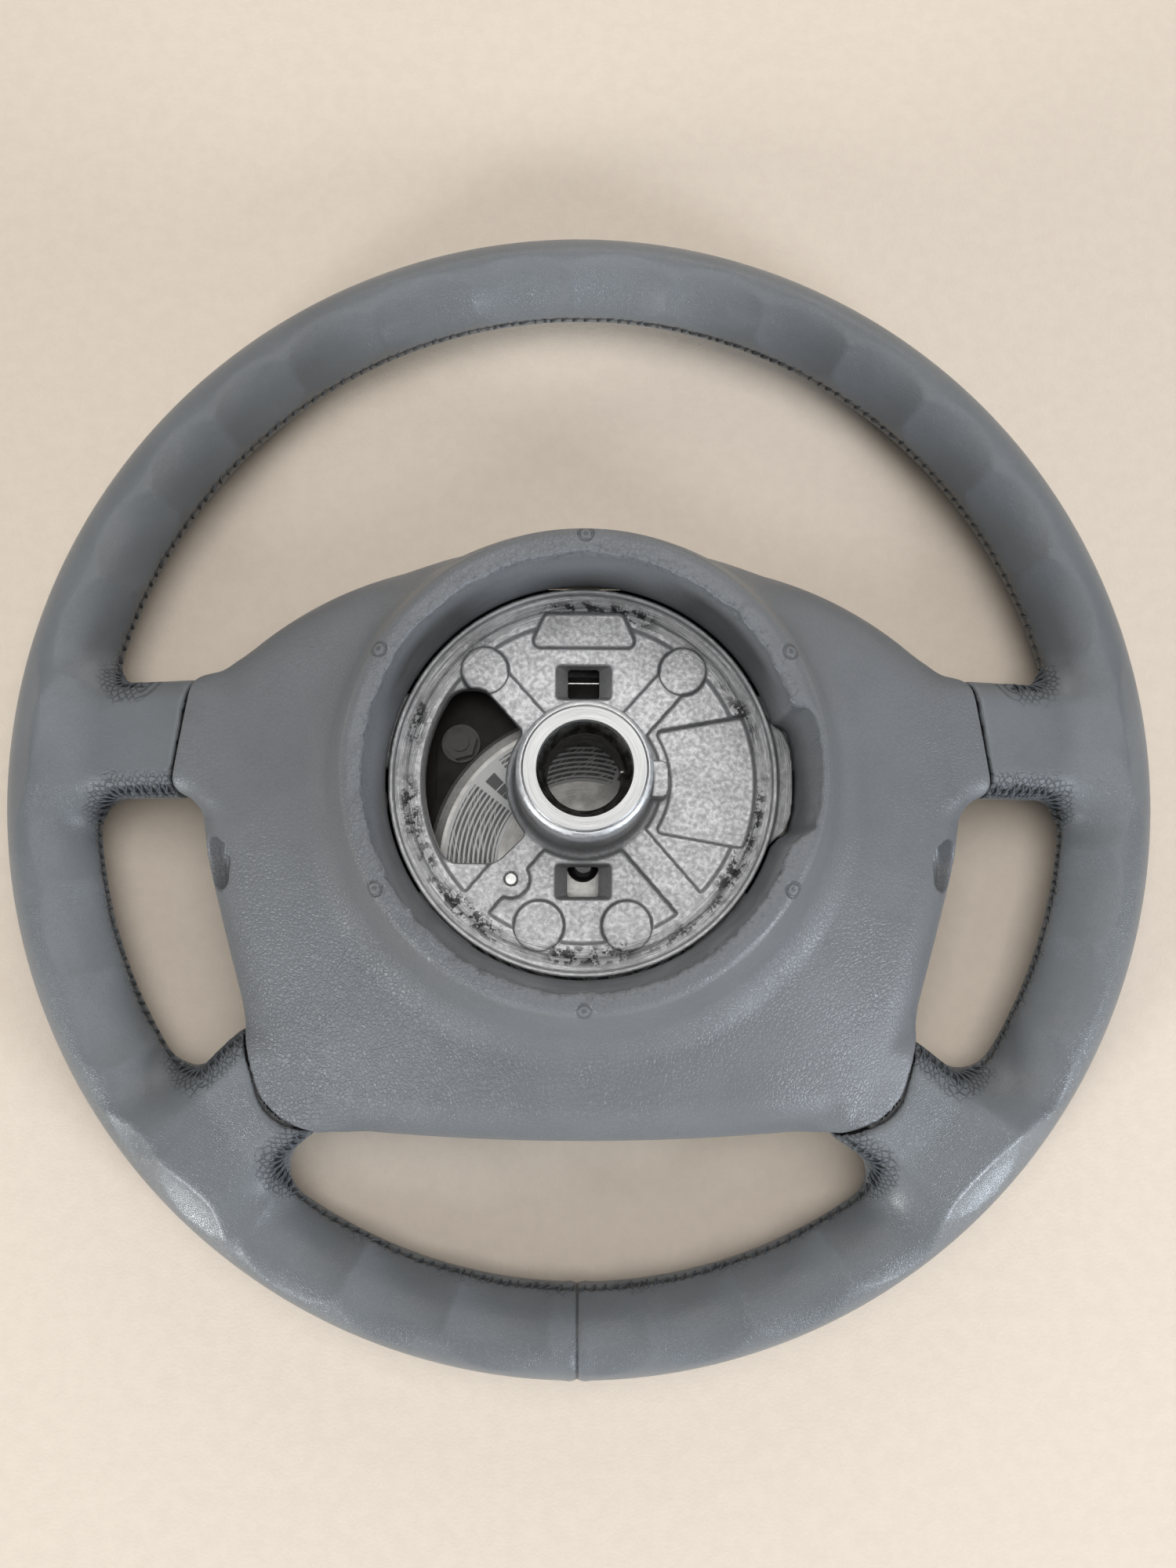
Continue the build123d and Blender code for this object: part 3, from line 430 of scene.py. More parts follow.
skin.thickness, skin.offset = LEATHER_THICKNESS * MM, -1


def foam_field(p):
    """Inside the leather, all but the steel ring."""
    x, y, z = p.T
    core = np.hypot(np.hypot(x, y) - CORE_RADIUS, z - RIM_Z) - CORE_THICKNESS
    return np.maximum(leather_field(p) + 1.5, -core)


foam_verts, foam_quads = surface_net(foam_field, *RIM_BOX, 2.6)
rim_foam = make_object("rim_foam_body", foam_verts, foam_quads)


# ------------------------------------------------------------------ stitches
def tubes(paths, radius, sides=6):
    """Round threads along paths of equal length, with closed rounded ends: (vertices, faces)."""
    paths = np.asarray(paths)
    count, steps = paths.shape[:2]
    tangent = np.gradient(paths, axis=1)
    tangent /= np.linalg.norm(tangent, axis=2, keepdims=True)
    up = np.where(np.abs(tangent[..., 2:3]) > 0.9, (1.0, 0, 0), (0, 0, 1.0))
    one = np.cross(tangent, up)
    one /= np.linalg.norm(one, axis=2, keepdims=True)
    two = np.cross(tangent, one)
    turn = np.linspace(0, 2 * math.pi, sides, endpoint=False)
    size = np.full(steps, radius)
    size[0] = size[-1] = radius * 0.55
    ring = (np.cos(turn)[:, None] * one[:, :, None, :] + np.sin(turn)[:, None] * two[:, :, None, :])
    body = paths[:, :, None, :] + ring * size[None, :, None, None]
    verts = body.reshape(-1, 3)
    base = (np.arange(count) * steps * sides)[:, None, None]
    i = np.arange(steps - 1)[None, :, None] * sides
    j = np.arange(sides)[None, None, :]
    k = (j + 1) % sides
    low = base + i
    quads = np.stack([low + j, low + sides + j, low + sides + k, low + k], -1)
    faces = quads.reshape(-1, 4).tolist()
    for b in base.ravel():
        faces.append(list(range(b, b + sides)))
        faces.append(list(range(b + (steps - 1) * sides, b + steps * sides))[::-1])
    return verts, faces


def stitch(centre, tangent, normal, half, lean, bow):
    """Path of one stitch that crosses the seam, leaning along it."""
    across = np.cross(normal, tangent)
    t = np.linspace(-1, 1, 7)[:, None]
    path = centre + across * half * t + tangent * lean * t
    path = settle(rim_field, path, 0.08, rounds=2)
    return path + normal * (bow * (1 - t ** 2) - 0.35 * np.abs(t) ** 6)


THREAD_RADIUS = 0.34
ROOT_RADIUS = 164.0  # inside this radius a seam runs over a spoke root, with crossed stitches
rim_paths = []
for line in seams:
    tangents = np.gradient(line, axis=0)
    tangents /= np.linalg.norm(tangents, axis=1)[:, None]
    normals = gradient(rim_field, line)
    normals /= np.linalg.norm(normals, axis=1)[:, None]
    i = 4.0
    while i < len(line) - 4:
        k = int(i)
        at = (line[k], tangents[k], normals[k])
        if math.hypot(line[k, 0], line[k, 1]) < ROOT_RADIUS:
            half = 3.0 + rng.uniform(-0.5, 0.7)
            lean = 0.85 + rng.uniform(-0.2, 0.2)
            rim_paths.append(stitch(*at, half, lean, 0.12))
            rim_paths.append(stitch(*at, half * 0.94, -lean, 0.3))
            i += 6.4 + rng.uniform(-0.5, 0.5)
        else:
            lean = 1.15 + rng.uniform(-0.1, 0.1)
            rim_paths.append(stitch(*at, 1.7, lean, 0.1))
            i += 8.2 + rng.uniform(-0.3, 0.3)
thread_verts, thread_faces = tubes(rim_paths, THREAD_RADIUS)
rim_thread = make_object("rim_stitches", thread_verts, thread_faces)

# ------------------------------------------------------------------ rear cover
# x, y and the height of the pad under each cover screw
SCREWS = [(s * 88.0, 16.0, 44.6) for s in (1, -1)] + [(s * 69.0, -69.8, 43.1) for s in (1, -1)]
ACCESS, ACCESS_TILT = (115.0, -26.0, 37.0), math.radians(20)
ACCESS_RADIUS, SPOT_FACE_RADIUS, SLEEVE_RADIUS = 6.2, 8.4, 10.6
COVER_WALL = 2.6
COVER_FRONT = 11.0
COLLAR_RADIUS, COLLAR_TOP, BORE_RADIUS = 69.2, 90.9, 62.0
ARM_TURN = math.radians(-45.3)  # direction of a lower spoke arm
COVER_LOW, COVER_HIGH = (-134, -116), (134, 78)


def cover_body(p):
    """The cover's broad cone, steeper at the lower corners, without its collar."""
    x, y, z = p.T
    sx = np.abs(x)
    back = (z - (58 - 0.29 * (np.hypot(x, y) - 68))) * 0.96
    corner = (sx * 0.74 - y * 0.67 - 115.5) * 0.42 + (z - 50.5) * 0.9075
    back = meet(back, corner, 9)
    at_upper_spoke = smooth(sx, 108, 122) * smooth(y, -12, -4)
    roundness = 15 - 6 * at_upper_spoke - 6 * smooth(sx - y, 180, 192)
    return meet(meet(shoulder_plan(x, y), back, roundness), outline(x, y), 1.0)


def cover_field(p):
    """Distance to the hollow cover with its collar, holes and slots."""
    x, y, z = p.T
    sx = np.abs(x)
    r, angle = np.hypot(x, y), np.arctan2(y, x)
    body = cover_body(p)
    worn = smooth(z, 84, 89.5) * (1 - smooth(r, 63.5, 68.5))
    side = (r - COLLAR_RADIUS) * 0.9495 + (z - 88.8) * 0.3137
    top = z - COLLAR_TOP + 0.12 * ripple(p, 14, 3)
    skirt = meet(meet(side, top, 2.4), shoulder_plan(x, y), 5)
    solid = join(body, np.maximum(skirt, 50.5 - z), 8)
    shell = np.maximum(solid, -(body + COVER_WALL))
    ring = np.maximum(np.abs(r - 64.0) - 2.0, np.abs(z - 53.3) - 4.5)
    shell = join(shell, ring, 0.8)
    for screw_x, screw_y, pad in SCREWS:
        post = np.hypot(x - screw_x, y - screw_y)
        post = np.maximum(np.maximum(post - 4.5, 1.9 - post), np.maximum(pad + 0.3 - z, z - pad - 9))
        shell = np.minimum(shell, np.maximum(post, body + 1))
    # bore of the collar with its torn edge
    bore = BORE_RADIUS - 0.7 * np.cos(angle - math.radians(30)) * smooth(z, 70, 90)
    bore = bore + worn * (0.32 * ripple(p, 16, 5) + 0.3 * ripple(p, 5, 6))
    shell = meet(shell, bore - r, 0.5)
    # notch with a wall round it
    wall = np.maximum(np.maximum(notch_plan(x, y) - 2.2, 64 - r), np.abs(z - 50) - 7)
    shell = np.minimum(shell, wall)
    notch = np.maximum(notch_plan(x, y), 42.0 - z) + 0.22 * smooth(z, 80, 88) * ripple(p, 4, 8)
    shell = meet(shell, -notch, 0.5)
    # access holes with their sleeves and spot faces
    qx, qy, qz = sx - ACCESS[0], y - ACCESS[1], z - ACCESS[2]
    depth = -qx * math.cos(ACCESS_TILT) - qz * math.sin(ACCESS_TILT)
    off = np.sqrt(np.maximum(qx ** 2 + qy ** 2 + qz ** 2 - depth ** 2, 0))
    sleeve = np.maximum(off - SLEEVE_RADIUS, np.abs(depth + 0.8) - 4.2)
    shell = np.minimum(shell, np.maximum(sleeve, body + 0.2))
    shell = meet(shell, -np.maximum(off - ACCESS_RADIUS, np.abs(depth) - 14), 0.6)
    shell = meet(shell, -meet(off - SPOT_FACE_RADIUS, depth - 0.8, 0.8), 0.5)
    # slots that let the spoke arms out
    upper_slot = np.maximum(np.maximum(np.abs(y - 16) - 13.5, z - 37.5), 110 - sx)
    out = sx * math.cos(ARM_TURN) + y * math.sin(ARM_TURN)
    aside = np.abs(-sx * math.sin(ARM_TURN) + y * math.cos(ARM_TURN))
    lower_slot = np.maximum(np.maximum(aside - 12.6, z - 36.6 + (out - 126) * 0.215), 126 - out)
    shell = np.maximum(shell, -np.minimum(upper_slot, lower_slot))
    shell = meet(shell, COVER_FRONT - z, 0.7)
    crumbs = 0.22 * np.maximum(ripple(p, 2.6, 9), -0.2) + 0.12 * ripple(p, 9, 10)
    return shell - worn * crumbs


verts, quads = surface_net(cover_field, (*COVER_LOW, 9), (*COVER_HIGH, 93), 0.95)
verts = settle(cover_field, verts, rounds=2)
rear_cover = make_object("rear_cover_skin", verts, quads)


# ------------------------------------------------------------------ airbag cover
MODULE_Y = -27.0
TRAY_HALF_X, TRAY_HALF_Y, TRAY_CORNER = 60.3, 63.3, 8.0
RIVET_Z, RIVET_HOLE = 20.0, 2.0


def pad_field(p):
    """Distance to the front pad with the wall that the tray is riveted into."""
    x, y, z = p.T
    front = 3.0 + 4.6 * (x / 140) ** 2
    plan = outline(x, y)
    body = np.maximum(meet(plan + 3.9, (front - z) * 0.99, 5.5), z - 17)
    body = np.maximum(body, -np.maximum(plan + 6.8, 10.6 - z))
    tx, ty = np.abs(x) - TRAY_HALF_X + TRAY_CORNER, np.abs(y - MODULE_Y) - TRAY_HALF_Y + TRAY_CORNER
    tray = np.hypot(np.maximum(tx, 0), np.maximum(ty, 0)) + np.minimum(np.maximum(tx, ty), 0) - TRAY_CORNER
    frame_wall = np.maximum(np.maximum(tray - 3, z - 26), 9.6 - z)
    body = join(body, frame_wall, 1.2)
    body = np.maximum(body, -np.maximum(tray, 6.0 - z))
    for c in (-70, -27, 16):
        hole = np.hypot(y - c, z - RIVET_Z) - RIVET_HOLE
        body = np.maximum(body, -np.maximum(hole, 58 - np.abs(x)))
    for c in (-38, 0, 38):
        hole = np.hypot(x - c, z - RIVET_Z) - RIVET_HOLE
        body = np.maximum(body, -np.maximum(hole, 61 - np.abs(y - MODULE_Y)))
    return body


verts, quads = surface_net(pad_field, (*COVER_LOW, 1), (*COVER_HIGH, 28), 1.2)
verts = settle(pad_field, verts, rounds=2)
airbag_cover = make_object("airbag_cover_skin", verts, quads)


# ------------------------------------------------------------------ hub casting
def soften(node, name, pitch, rounds, keep_fine=None, far_share=0.15):
    """A copy of a CAD node with cast or rolled edges; what lies outside keep_fine is thinned."""
    mesh = nodes[node].data.copy()
    obj = bpy.data.objects.new(name, mesh)
    bpy.context.scene.collection.objects.link(obj)
    bm = bmesh.new()
    bm.from_mesh(mesh)
    bmesh.ops.remove_doubles(bm, verts=bm.verts, dist=2e-6)
    bm.to_mesh(mesh)
    bm.free()
    net = obj.modifiers.new("net", "REMESH")
    net.mode, net.voxel_size, net.adaptivity = "VOXEL", pitch * MM, 0.0
    relax = obj.modifiers.new("relax", "SMOOTH")
    relax.factor, relax.iterations = 0.5, rounds
    made = bpy.data.meshes.new_from_object(obj.evaluated_get(bpy.context.evaluated_depsgraph_get()))
    obj.modifiers.clear()
    obj.data = made
    made.materials.clear()
    if keep_fine is not None:
        co = np.zeros(len(made.vertices) * 3, np.float32)
        made.vertices.foreach_get("co", co)
        far = np.where(~keep_fine(co.reshape(-1, 3) / MM))[0]
        group = obj.vertex_groups.new(name="far")
        group.add(far.tolist(), 1.0, "REPLACE")
        thin = obj.modifiers.new("thin", "DECIMATE")
        thin.ratio, thin.vertex_group = far_share + (1 - far_share) * (1 - len(far) / len(co) * 3), "far"
    obj.data.polygons.foreach_set("use_smooth", np.ones(len(obj.data.polygons), bool))
    return obj


def seen_from_behind(p):
    """The part of the casting that shows inside the collar."""
    return (np.hypot(p[:, 0], p[:, 1]) < 70) & (p[:, 2] > 41.5)


hub_armature = soften("hub_armature", "hub_casting", 0.5, 3, seen_from_behind)


# ------------------------------------------------------------------ materials
class Paint:
    """One procedural material."""

    def __init__(self, name):
        self.material = bpy.data.materials.new(name)
        self.material.use_nodes = True
        self.tree = self.material.node_tree
        self.tree.nodes.clear()
        out = self.tree.nodes.new("ShaderNodeOutputMaterial")
        self.shader = self.tree.nodes.new("ShaderNodeBsdfPrincipled")
        self.tree.links.new(self.shader.outputs[0], out.inputs[0])
        self.where = self.tree.nodes.new("ShaderNodeTexCoord").outputs["Object"]
        self.normal = None

    def put(self, socket, value):
        """Links a socket or sets a constant."""
        if isinstance(value, bpy.types.NodeSocket):
            self.tree.links.new(value, socket)
        else:
            socket.default_value = value

    def set(self, **values):
        for name, value in values.items():
            self.put(self.shader.inputs[name.replace("_", " ")], value)
        return self

    def math(self, op, a, b=0.0, c=0.0):
        node = self.tree.nodes.new("ShaderNodeMath")
        node.operation = op
        for socket, value in zip(node.inputs, (a, b, c)):
            self.put(socket, value)
        return node.outputs[0]

    def times(self, a, b):
        return self.math("MULTIPLY", a, b)

    def ramp(self, x, low, high, a=0.0, b=1.0):
        """Smooth step from a where x is low to b where it is high."""
        node = self.tree.nodes.new("ShaderNodeMapRange")
        node.interpolation_type = "SMOOTHSTEP"
        for socket, value in zip(node.inputs, (x, low, high, a, b)):
            self.put(socket, value)
        return node.outputs[0]

    def mix(self, factor, a, b):
        node = self.tree.nodes.new("ShaderNodeMix")
        node.data_type = "RGBA"
        self.put(node.inputs[0], factor)
        for socket, value in zip(node.inputs[6:8], (a, b)):
            self.put(socket, (*value, 1) if isinstance(value, tuple) else value)
        return node.outputs[2]

    def noise(self, scale, detail=3.0, rough=0.55, at=None, distortion=0.0):
        node = self.tree.nodes.new("ShaderNodeTexNoise")
        self.put(node.inputs["Vector"], at or self.where)
        settings = {"Scale": scale, "Detail": detail, "Roughness": rough, "Distortion": distortion}
        for name, value in settings.items():
            node.inputs[name].default_value = value
        return node.outputs["Fac"]

    def cells(self, scale, feature="DISTANCE_TO_EDGE", at=None):
        node = self.tree.nodes.new("ShaderNodeTexVoronoi")
        node.feature = feature
        self.put(node.inputs["Vector"], at or self.where)
        node.inputs["Scale"].default_value = scale
        return node.outputs["Distance"]

    def read(self, name):
        """A number kept on the mesh by keep_attribute."""
        node = self.tree.nodes.new("ShaderNodeAttribute")
        node.attribute_name = name
        return node.outputs["Fac"]

    def axes(self):
        """The object's own coordinates, in metres."""
        node = self.tree.nodes.new("ShaderNodeSeparateXYZ")
        self.put(node.inputs[0], self.where)
        return node.outputs[:]

    def point(self, x, y, z):
        node = self.tree.nodes.new("ShaderNodeCombineXYZ")
        for socket, value in zip(node.inputs, (x, y, z)):
            self.put(socket, value)
        return node.outputs[0]

    def warped(self, scale, amount):
        """The object's coordinates, pushed about by noise."""
        node = self.tree.nodes.new("ShaderNodeTexNoise")
        self.put(node.inputs["Vector"], self.where)
        node.inputs["Scale"].default_value = scale
        add = self.tree.nodes.new("ShaderNodeVectorMath")
        add.operation = "MULTIPLY_ADD"
        self.put(add.inputs[0], node.outputs["Color"])
        add.inputs[1].default_value = (amount,) * 3
        self.put(add.inputs[2], self.where)
        return add.outputs[0]

    def bump(self, height, depth):
        """Adds relief: height between 0 and 1, depth in millimetres."""
        node = self.tree.nodes.new("ShaderNodeBump")
        node.inputs["Strength"].default_value = 1.0
        node.inputs["Distance"].default_value = depth * MM
        self.put(node.inputs["Height"], height)
        if self.normal is not None:
            self.put(node.inputs["Normal"], self.normal)
        self.normal = node.outputs[0]
        self.put(self.shader.inputs["Normal"], self.normal)
        return self

    def polar(self, centre=(0.0, 0.0)):
        """Distance from an upright axis in millimetres, and the angle in turns from -0.5 to 0.5."""
        x, y, _ = self.axes()
        x = self.math("MULTIPLY_ADD", x, 1000.0, -centre[0])
        y = self.math("MULTIPLY_ADD", y, 1000.0, -centre[1])
        squares = self.math("MULTIPLY_ADD", x, x, self.times(y, y))
        return self.math("SQRT", squares), self.math("DIVIDE", self.math("ARCTAN2", y, x), 2 * math.pi)

    def wear(self, dust=0.06):
        """Fine specks that a handled surface picks up, as a share between 0 and 1."""
        return self.times(self.ramp(self.noise(420, 5, 0.7), 0.63, 0.74), dust)


def shade(colour, k):
    """A colour made k times as bright."""
    return tuple(min(1.0, c * k) for c in colour)


def grey_leather():
    p = Paint("grey_leather")
    base = (0.155, 0.165, 0.174)
    broad, fine = p.noise(26, 4), p.noise(900, 3)
    colour = p.mix(p.ramp(broad, 0.3, 0.7), shade(base, 0.92), shade(base, 1.08))
    colour = p.mix(p.times(fine, 0.18), colour, shade(base, 0.72))
    gather, along, beside = p.read("gather"), p.read("along"), p.read("beside")
    swirl = p.times(p.noise(340, 3), 3.2)
    # creases in the gathered leather at the spoke roots: two crossed sets of wavy lines, bumped and darkened
    # as painted shade
    hatches = []
    for lean in (1.0, -1.0):
        run = p.math("MULTIPLY_ADD", beside, lean * 2 * math.pi / 3.0, swirl)
        run = p.math("MULTIPLY_ADD", along, 2 * math.pi / 2.3, run)
        hatches.append(p.ramp(p.math("SINE", run), 0.55, 0.98))
    hatch = p.math("MAXIMUM", *hatches)
    gathered = p.ramp(p.math("MULTIPLY_ADD", p.noise(330, 3), 0.5, gather), 0.42, 0.85)
    crease = p.times(hatch, gathered)
    # painted shade in the crease lines
    colour = p.mix(p.times(crease, 0.62), colour, shade(base, 0.22))
    # painted shade: darker where the leather gathers into folds at the spoke roots
    colour = p.mix(p.times(p.ramp(gather, 0.1, 0.9), 0.3), colour, shade(base, 0.5))
    # painted shade in the pinched seam groove and the butt joint
    pit = p.math("MAXIMUM", p.read("seam"), p.read("butt"))
    colour = p.mix(p.times(p.ramp(pit, 0.35, 1.0), 0.85), colour, shade(base, 0.16))
    colour = p.mix(p.wear(0.25), colour, shade(base, 1.5))
    rough = p.math("MULTIPLY_ADD", gather, 0.32, p.ramp(p.noise(60, 3), 0.3, 0.7, 0.29, 0.38))
    p.set(Base_Color=colour, Roughness=rough, Specular_IOR_Level=0.5)
    pore = p.ramp(p.cells(1500, at=p.warped(700, 0.0006)), 0.0, 0.16)
    p.bump(pore, 0.035).bump(p.noise(180, 4), 0.10).bump(p.math("SUBTRACT", 1.0, crease), 0.35)
    return p


# ends of the scratches on the rear cover: x and y of one, then of the other
SCRATCHES = ((-84.5, -78.5, -74.0, -68.5), (-78.0, -62.0, -70.5, -47.5), (-66, -84, -52, -80))


def grained_vinyl(name, base, marks=False):
    p = Paint(name)
    broad = p.noise(22, 4)
    colour = p.mix(p.ramp(broad, 0.3, 0.7), shade(base, 0.94), shade(base, 1.06))
    warped = p.warped(420, 0.0012)
    pebble = p.ramp(p.cells(680, at=warped), 0.0, 0.22)
    fold = p.ramp(p.noise(520, 3, 0.6, distortion=1.4), 0.35, 0.65)
    x, y, z = p.axes()
    # the grain is deeper in patches, most of all low on the left
    patch = p.ramp(p.noise(30, 2), 0.35, 0.7, 0.25, 0.8)
    low_left = p.times(p.ramp(x, 0.05, -0.07), p.ramp(y, 0.0, -0.07))
    deep = p.math("ADD", patch, p.times(low_left, 0.55))
    grain = p.times(p.math("MULTIPLY_ADD", pebble, 0.65, p.times(fold, 0.35)), deep)
    colour = p.mix(p.times(p.ramp(pebble, 0.6, 0.0), 0.22), colour, shade(base, 0.72))
    rough = p.ramp(p.noise(90, 3), 0.3, 0.7, 0.37, 0.47)
    p.set(Specular_IOR_Level=0.4)
    p.bump(grain, 0.20)
    if marks:
        r, turn = p.polar()
        # six small round moulding marks on the collar, one every sixth of a turn
        sector = p.math("WRAP", p.math("MULTIPLY_ADD", turn, 6.0, 0.5), 0.5, -0.5)
        sector = p.times(sector, 2 * math.pi / 6)
        mx = p.math("MULTIPLY_ADD", p.math("COSINE", sector), r, -67.2)
        my = p.times(p.math("SINE", sector), r)
        off = p.math("SQRT", p.math("MULTIPLY_ADD", mx, mx, p.times(my, my)))
        high = p.ramp(z, 0.080, 0.084)
        ring = p.times(p.times(p.ramp(off, 1.3, 1.9), p.ramp(off, 2.7, 2.1)), high)
        dot = p.times(p.ramp(off, 0.9, 0.5), high)
        colour = p.mix(p.times(p.math("MAXIMUM", ring, dot), 0.55), colour, shade(base, 0.35))
        p.bump(p.math("SUBTRACT", 1.0, ring), 0.35)
        # rubbed, darker skin round the torn edge and inside the bore
        worn = p.times(p.ramp(r, 66.5, 62.5), p.ramp(z, 0.080, 0.089))
        scuff = p.times(worn, p.ramp(p.noise(650, 5, 0.7), 0.50, 0.64))
        colour = p.mix(p.times(scuff, 0.5), colour, shade(base, 0.35))
        # thin scratches low on the left
        for x1, y1, x2, y2 in SCRATCHES:
            length = math.hypot(x2 - x1, y2 - y1)
            ux, uy = (x2 - x1) / length, (y2 - y1) / length
            ax = p.math("MULTIPLY_ADD", x, 1000.0, -x1)
            ay = p.math("MULTIPLY_ADD", y, 1000.0, -y1)
            t = p.math("MULTIPLY_ADD", ax, ux, p.times(ay, uy))
            side = p.math("ABSOLUTE", p.math("MULTIPLY_ADD", ax, -uy, p.times(ay, ux)))
            ends = p.times(p.ramp(t, 0, 3), p.ramp(t, length, length - 4))
            line = p.times(p.ramp(side, 0.35, 0.1), ends)
            p.bump(p.math("SUBTRACT", 1.0, line), 0.18)
            colour = p.mix(p.times(line, 0.4), colour, shade(base, 1.5))
    colour = p.mix(p.wear(0.3), colour, shade(base, 1.45))
    return p.set(Base_Color=colour, Roughness=rough)


# x, y and radius of the round pads of the hub plate
CAST_PADS = ((31.4, 35.1, 7.4), (-31.4, 35.1, 7.4), (13.75, -45.35, 7.8), (-13.75, -45.35, 7.8))


def cast_aluminium():
    p = Paint("cast_aluminium")
    r, turn = p.polar()
    x, y, z = p.axes()
    speck, grain = p.noise(2300, 3, 0.7), p.noise(800, 4, 0.6)
    colour = p.mix(speck, (0.40, 0.40, 0.405), (0.62, 0.62, 0.625))
    colour = p.mix(p.times(p.ramp(grain, 0.42, 0.68), 0.20), colour, (0.22, 0.22, 0.225))
    # scored outer band: bright concentric scratches and dark flaking patches
    band = p.times(p.ramp(r, 52.0, 53.5), p.ramp(z, 0.0455, 0.0465))
    round_axis = p.point(p.times(r, 4.6), p.times(p.math("ABSOLUTE", turn), 12.0), 3.0)
    rings = p.noise(1.0, 4, 0.8, at=round_axis)
    colour = p.mix(p.times(band, p.ramp(rings, 0.52, 0.60)), colour, (0.95, 0.95, 0.95))
    colour = p.mix(p.times(band, p.ramp(rings, 0.42, 0.36)), colour, (0.12, 0.12, 0.12))
    flake = p.noise(230, 6, 0.75)
    near = p.times(p.ramp(r, 50.5, 54.5), p.ramp(r, 59.0, 56.5))
    dark = p.times(p.times(near, p.ramp(p.noise(38, 2), 0.42, 0.56)), p.ramp(flake, 0.50, 0.55))
    dark = p.times(dark, p.ramp(z, 0.0455, 0.0465))
    colour = p.mix(p.times(dark, 0.9), colour, (0.018, 0.018, 0.018))
    # machined top of the boss and bright lip
    top = p.times(p.ramp(z, 0.0893, 0.0902), p.ramp(r, 21, 20))
    lip = p.times(p.ramp(r, 59.6, 60.1), p.ramp(z, 0.0484, 0.0489))
    colour = p.mix(p.times(p.math("MAXIMUM", top, lip), 0.75), colour, (0.78, 0.78, 0.78))
    # thin cast rings round the pads, bumped, with a painted shade line along each step
    for px, py, radius in CAST_PADS:
        away, _ = p.polar((px, py))
        step = p.times(p.ramp(away, radius + 0.45, radius - 0.1), p.ramp(z, 0.0462, 0.0467))
        # painted shade: a thin dark line along each pad's step
        edge = p.times(step, p.ramp(away, radius - 0.7, radius - 0.1))
        p.bump(step, 0.2)
        colour = p.mix(p.times(edge, 0.22), colour, (0.07, 0.07, 0.07))
    # cloudy stains in the pockets
    stain = p.ramp(p.noise(60, 5, 0.6), 0.5, 0.66)
    colour = p.mix(p.times(stain, 0.22), colour, (0.17, 0.17, 0.165))
    # short sharp scratches
    steep = p.math("MULTIPLY_ADD", x, 2600.0, p.times(y, 2100.0))
    shallow = p.math("MULTIPLY_ADD", x, -160.0, p.times(y, 190.0))
    scratch = p.noise(1.0, 3, 0.6, at=p.point(steep, shallow, 0.0))
    mark = p.times(p.ramp(scratch, 0.70, 0.76), p.ramp(p.noise(45, 2), 0.5, 0.6))
    colour = p.mix(p.times(mark, 0.7), colour, (0.85, 0.85, 0.85))
    p.set(Base_Color=colour, Metallic=0.82, Roughness=p.ramp(p.noise(700, 3), 0.3, 0.7, 0.38, 0.60))
    p.bump(speck, 0.05).bump(grain, 0.08).bump(p.times(band, rings), 0.12)
    p.bump(p.math("SUBTRACT", 1.0, dark), 0.12)
    return p


def turned_bush():
    p = Paint("turned_bush")
    r, turn = p.polar()
    _, _, z = p.axes()
    round_axis = p.point(p.times(r, 5.5), p.times(turn, 6.0), p.times(z, 900.0))
    rings = p.noise(1.0, 4, 0.75, at=round_axis)
    face = p.mix(p.ramp(rings, 0.35, 0.65), (0.34, 0.34, 0.335), (0.62, 0.62, 0.615))
    dirt = p.noise(320, 5, 0.7)
    # inside the splined bore: grease with painted shade, darker than the top face
    grease_and_shade = p.mix(p.ramp(dirt, 0.40, 0.62), (0.06, 0.058, 0.054), (0.24, 0.23, 0.215))
    inside = p.times(p.ramp(r, 13.9, 13.5), p.ramp(z, 0.0921, 0.0917))
    # painted highlights on the spline tooth tips
    tip_highlight = p.times(p.ramp(r, 11.0, 10.55), 0.75)
    colour = p.mix(inside, face, p.mix(tip_highlight, grease_and_shade, (0.50, 0.49, 0.47)))
    # painted shade in the groove at the bush's outer edge
    groove = p.times(p.ramp(r, 17.2, 17.5), p.ramp(z, 0.0915, 0.0920))
    colour = p.mix(p.times(groove, 0.6), colour, (0.10, 0.10, 0.10))
    p.set(Base_Color=colour, Metallic=0.85, Roughness=p.ramp(rings, 0.3, 0.7, 0.36, 0.52))
    return p.bump(rings, 0.02).bump(dirt, 0.03)


def metal(name, base, rough, grain=700.0, dirt=0.3, metallic=0.92, ring_centre=None, specular=0.5):
    p = Paint(name)
    cloud, fine = p.noise(70, 5, 0.6), p.noise(grain, 3, 0.6)
    colour = p.mix(p.ramp(fine, 0.3, 0.7), shade(base, 0.86), shade(base, 1.1))
    colour = p.mix(p.times(p.ramp(cloud, 0.5, 0.7), dirt), colour, shade(base, 0.35))
    if ring_centre:
        r, turn = p.polar(ring_centre)
        rings = p.noise(1.0, 3, 0.7, at=p.point(p.times(r, 4.0), p.times(turn, 5.0), 0.0))
        colour = p.mix(p.times(p.ramp(rings, 0.45, 0.62), 0.5), colour, shade(base, 1.25))
        p.bump(rings, 0.02)
    p.set(Base_Color=colour, Metallic=metallic, Roughness=p.ramp(cloud, 0.3, 0.7, rough - 0.06, rough + 0.10))
    p.set(Specular_IOR_Level=specular)
    return p.bump(fine, 0.03)


def plain(name, base, rough, grain=500.0, depth=0.03, spread=0.08):
    p = Paint(name)
    cloud, fine = p.noise(40, 4), p.noise(grain, 3)
    colour = p.mix(p.ramp(cloud, 0.3, 0.7), shade(base, 1 - spread), shade(base, 1 + spread))
    colour = p.mix(p.wear(0.3), colour, shade(base, 1.4))
    p.set(Base_Color=colour, Roughness=p.ramp(fine, 0.3, 0.7, rough - 0.05, rough + 0.05))
    return p.bump(fine, depth)


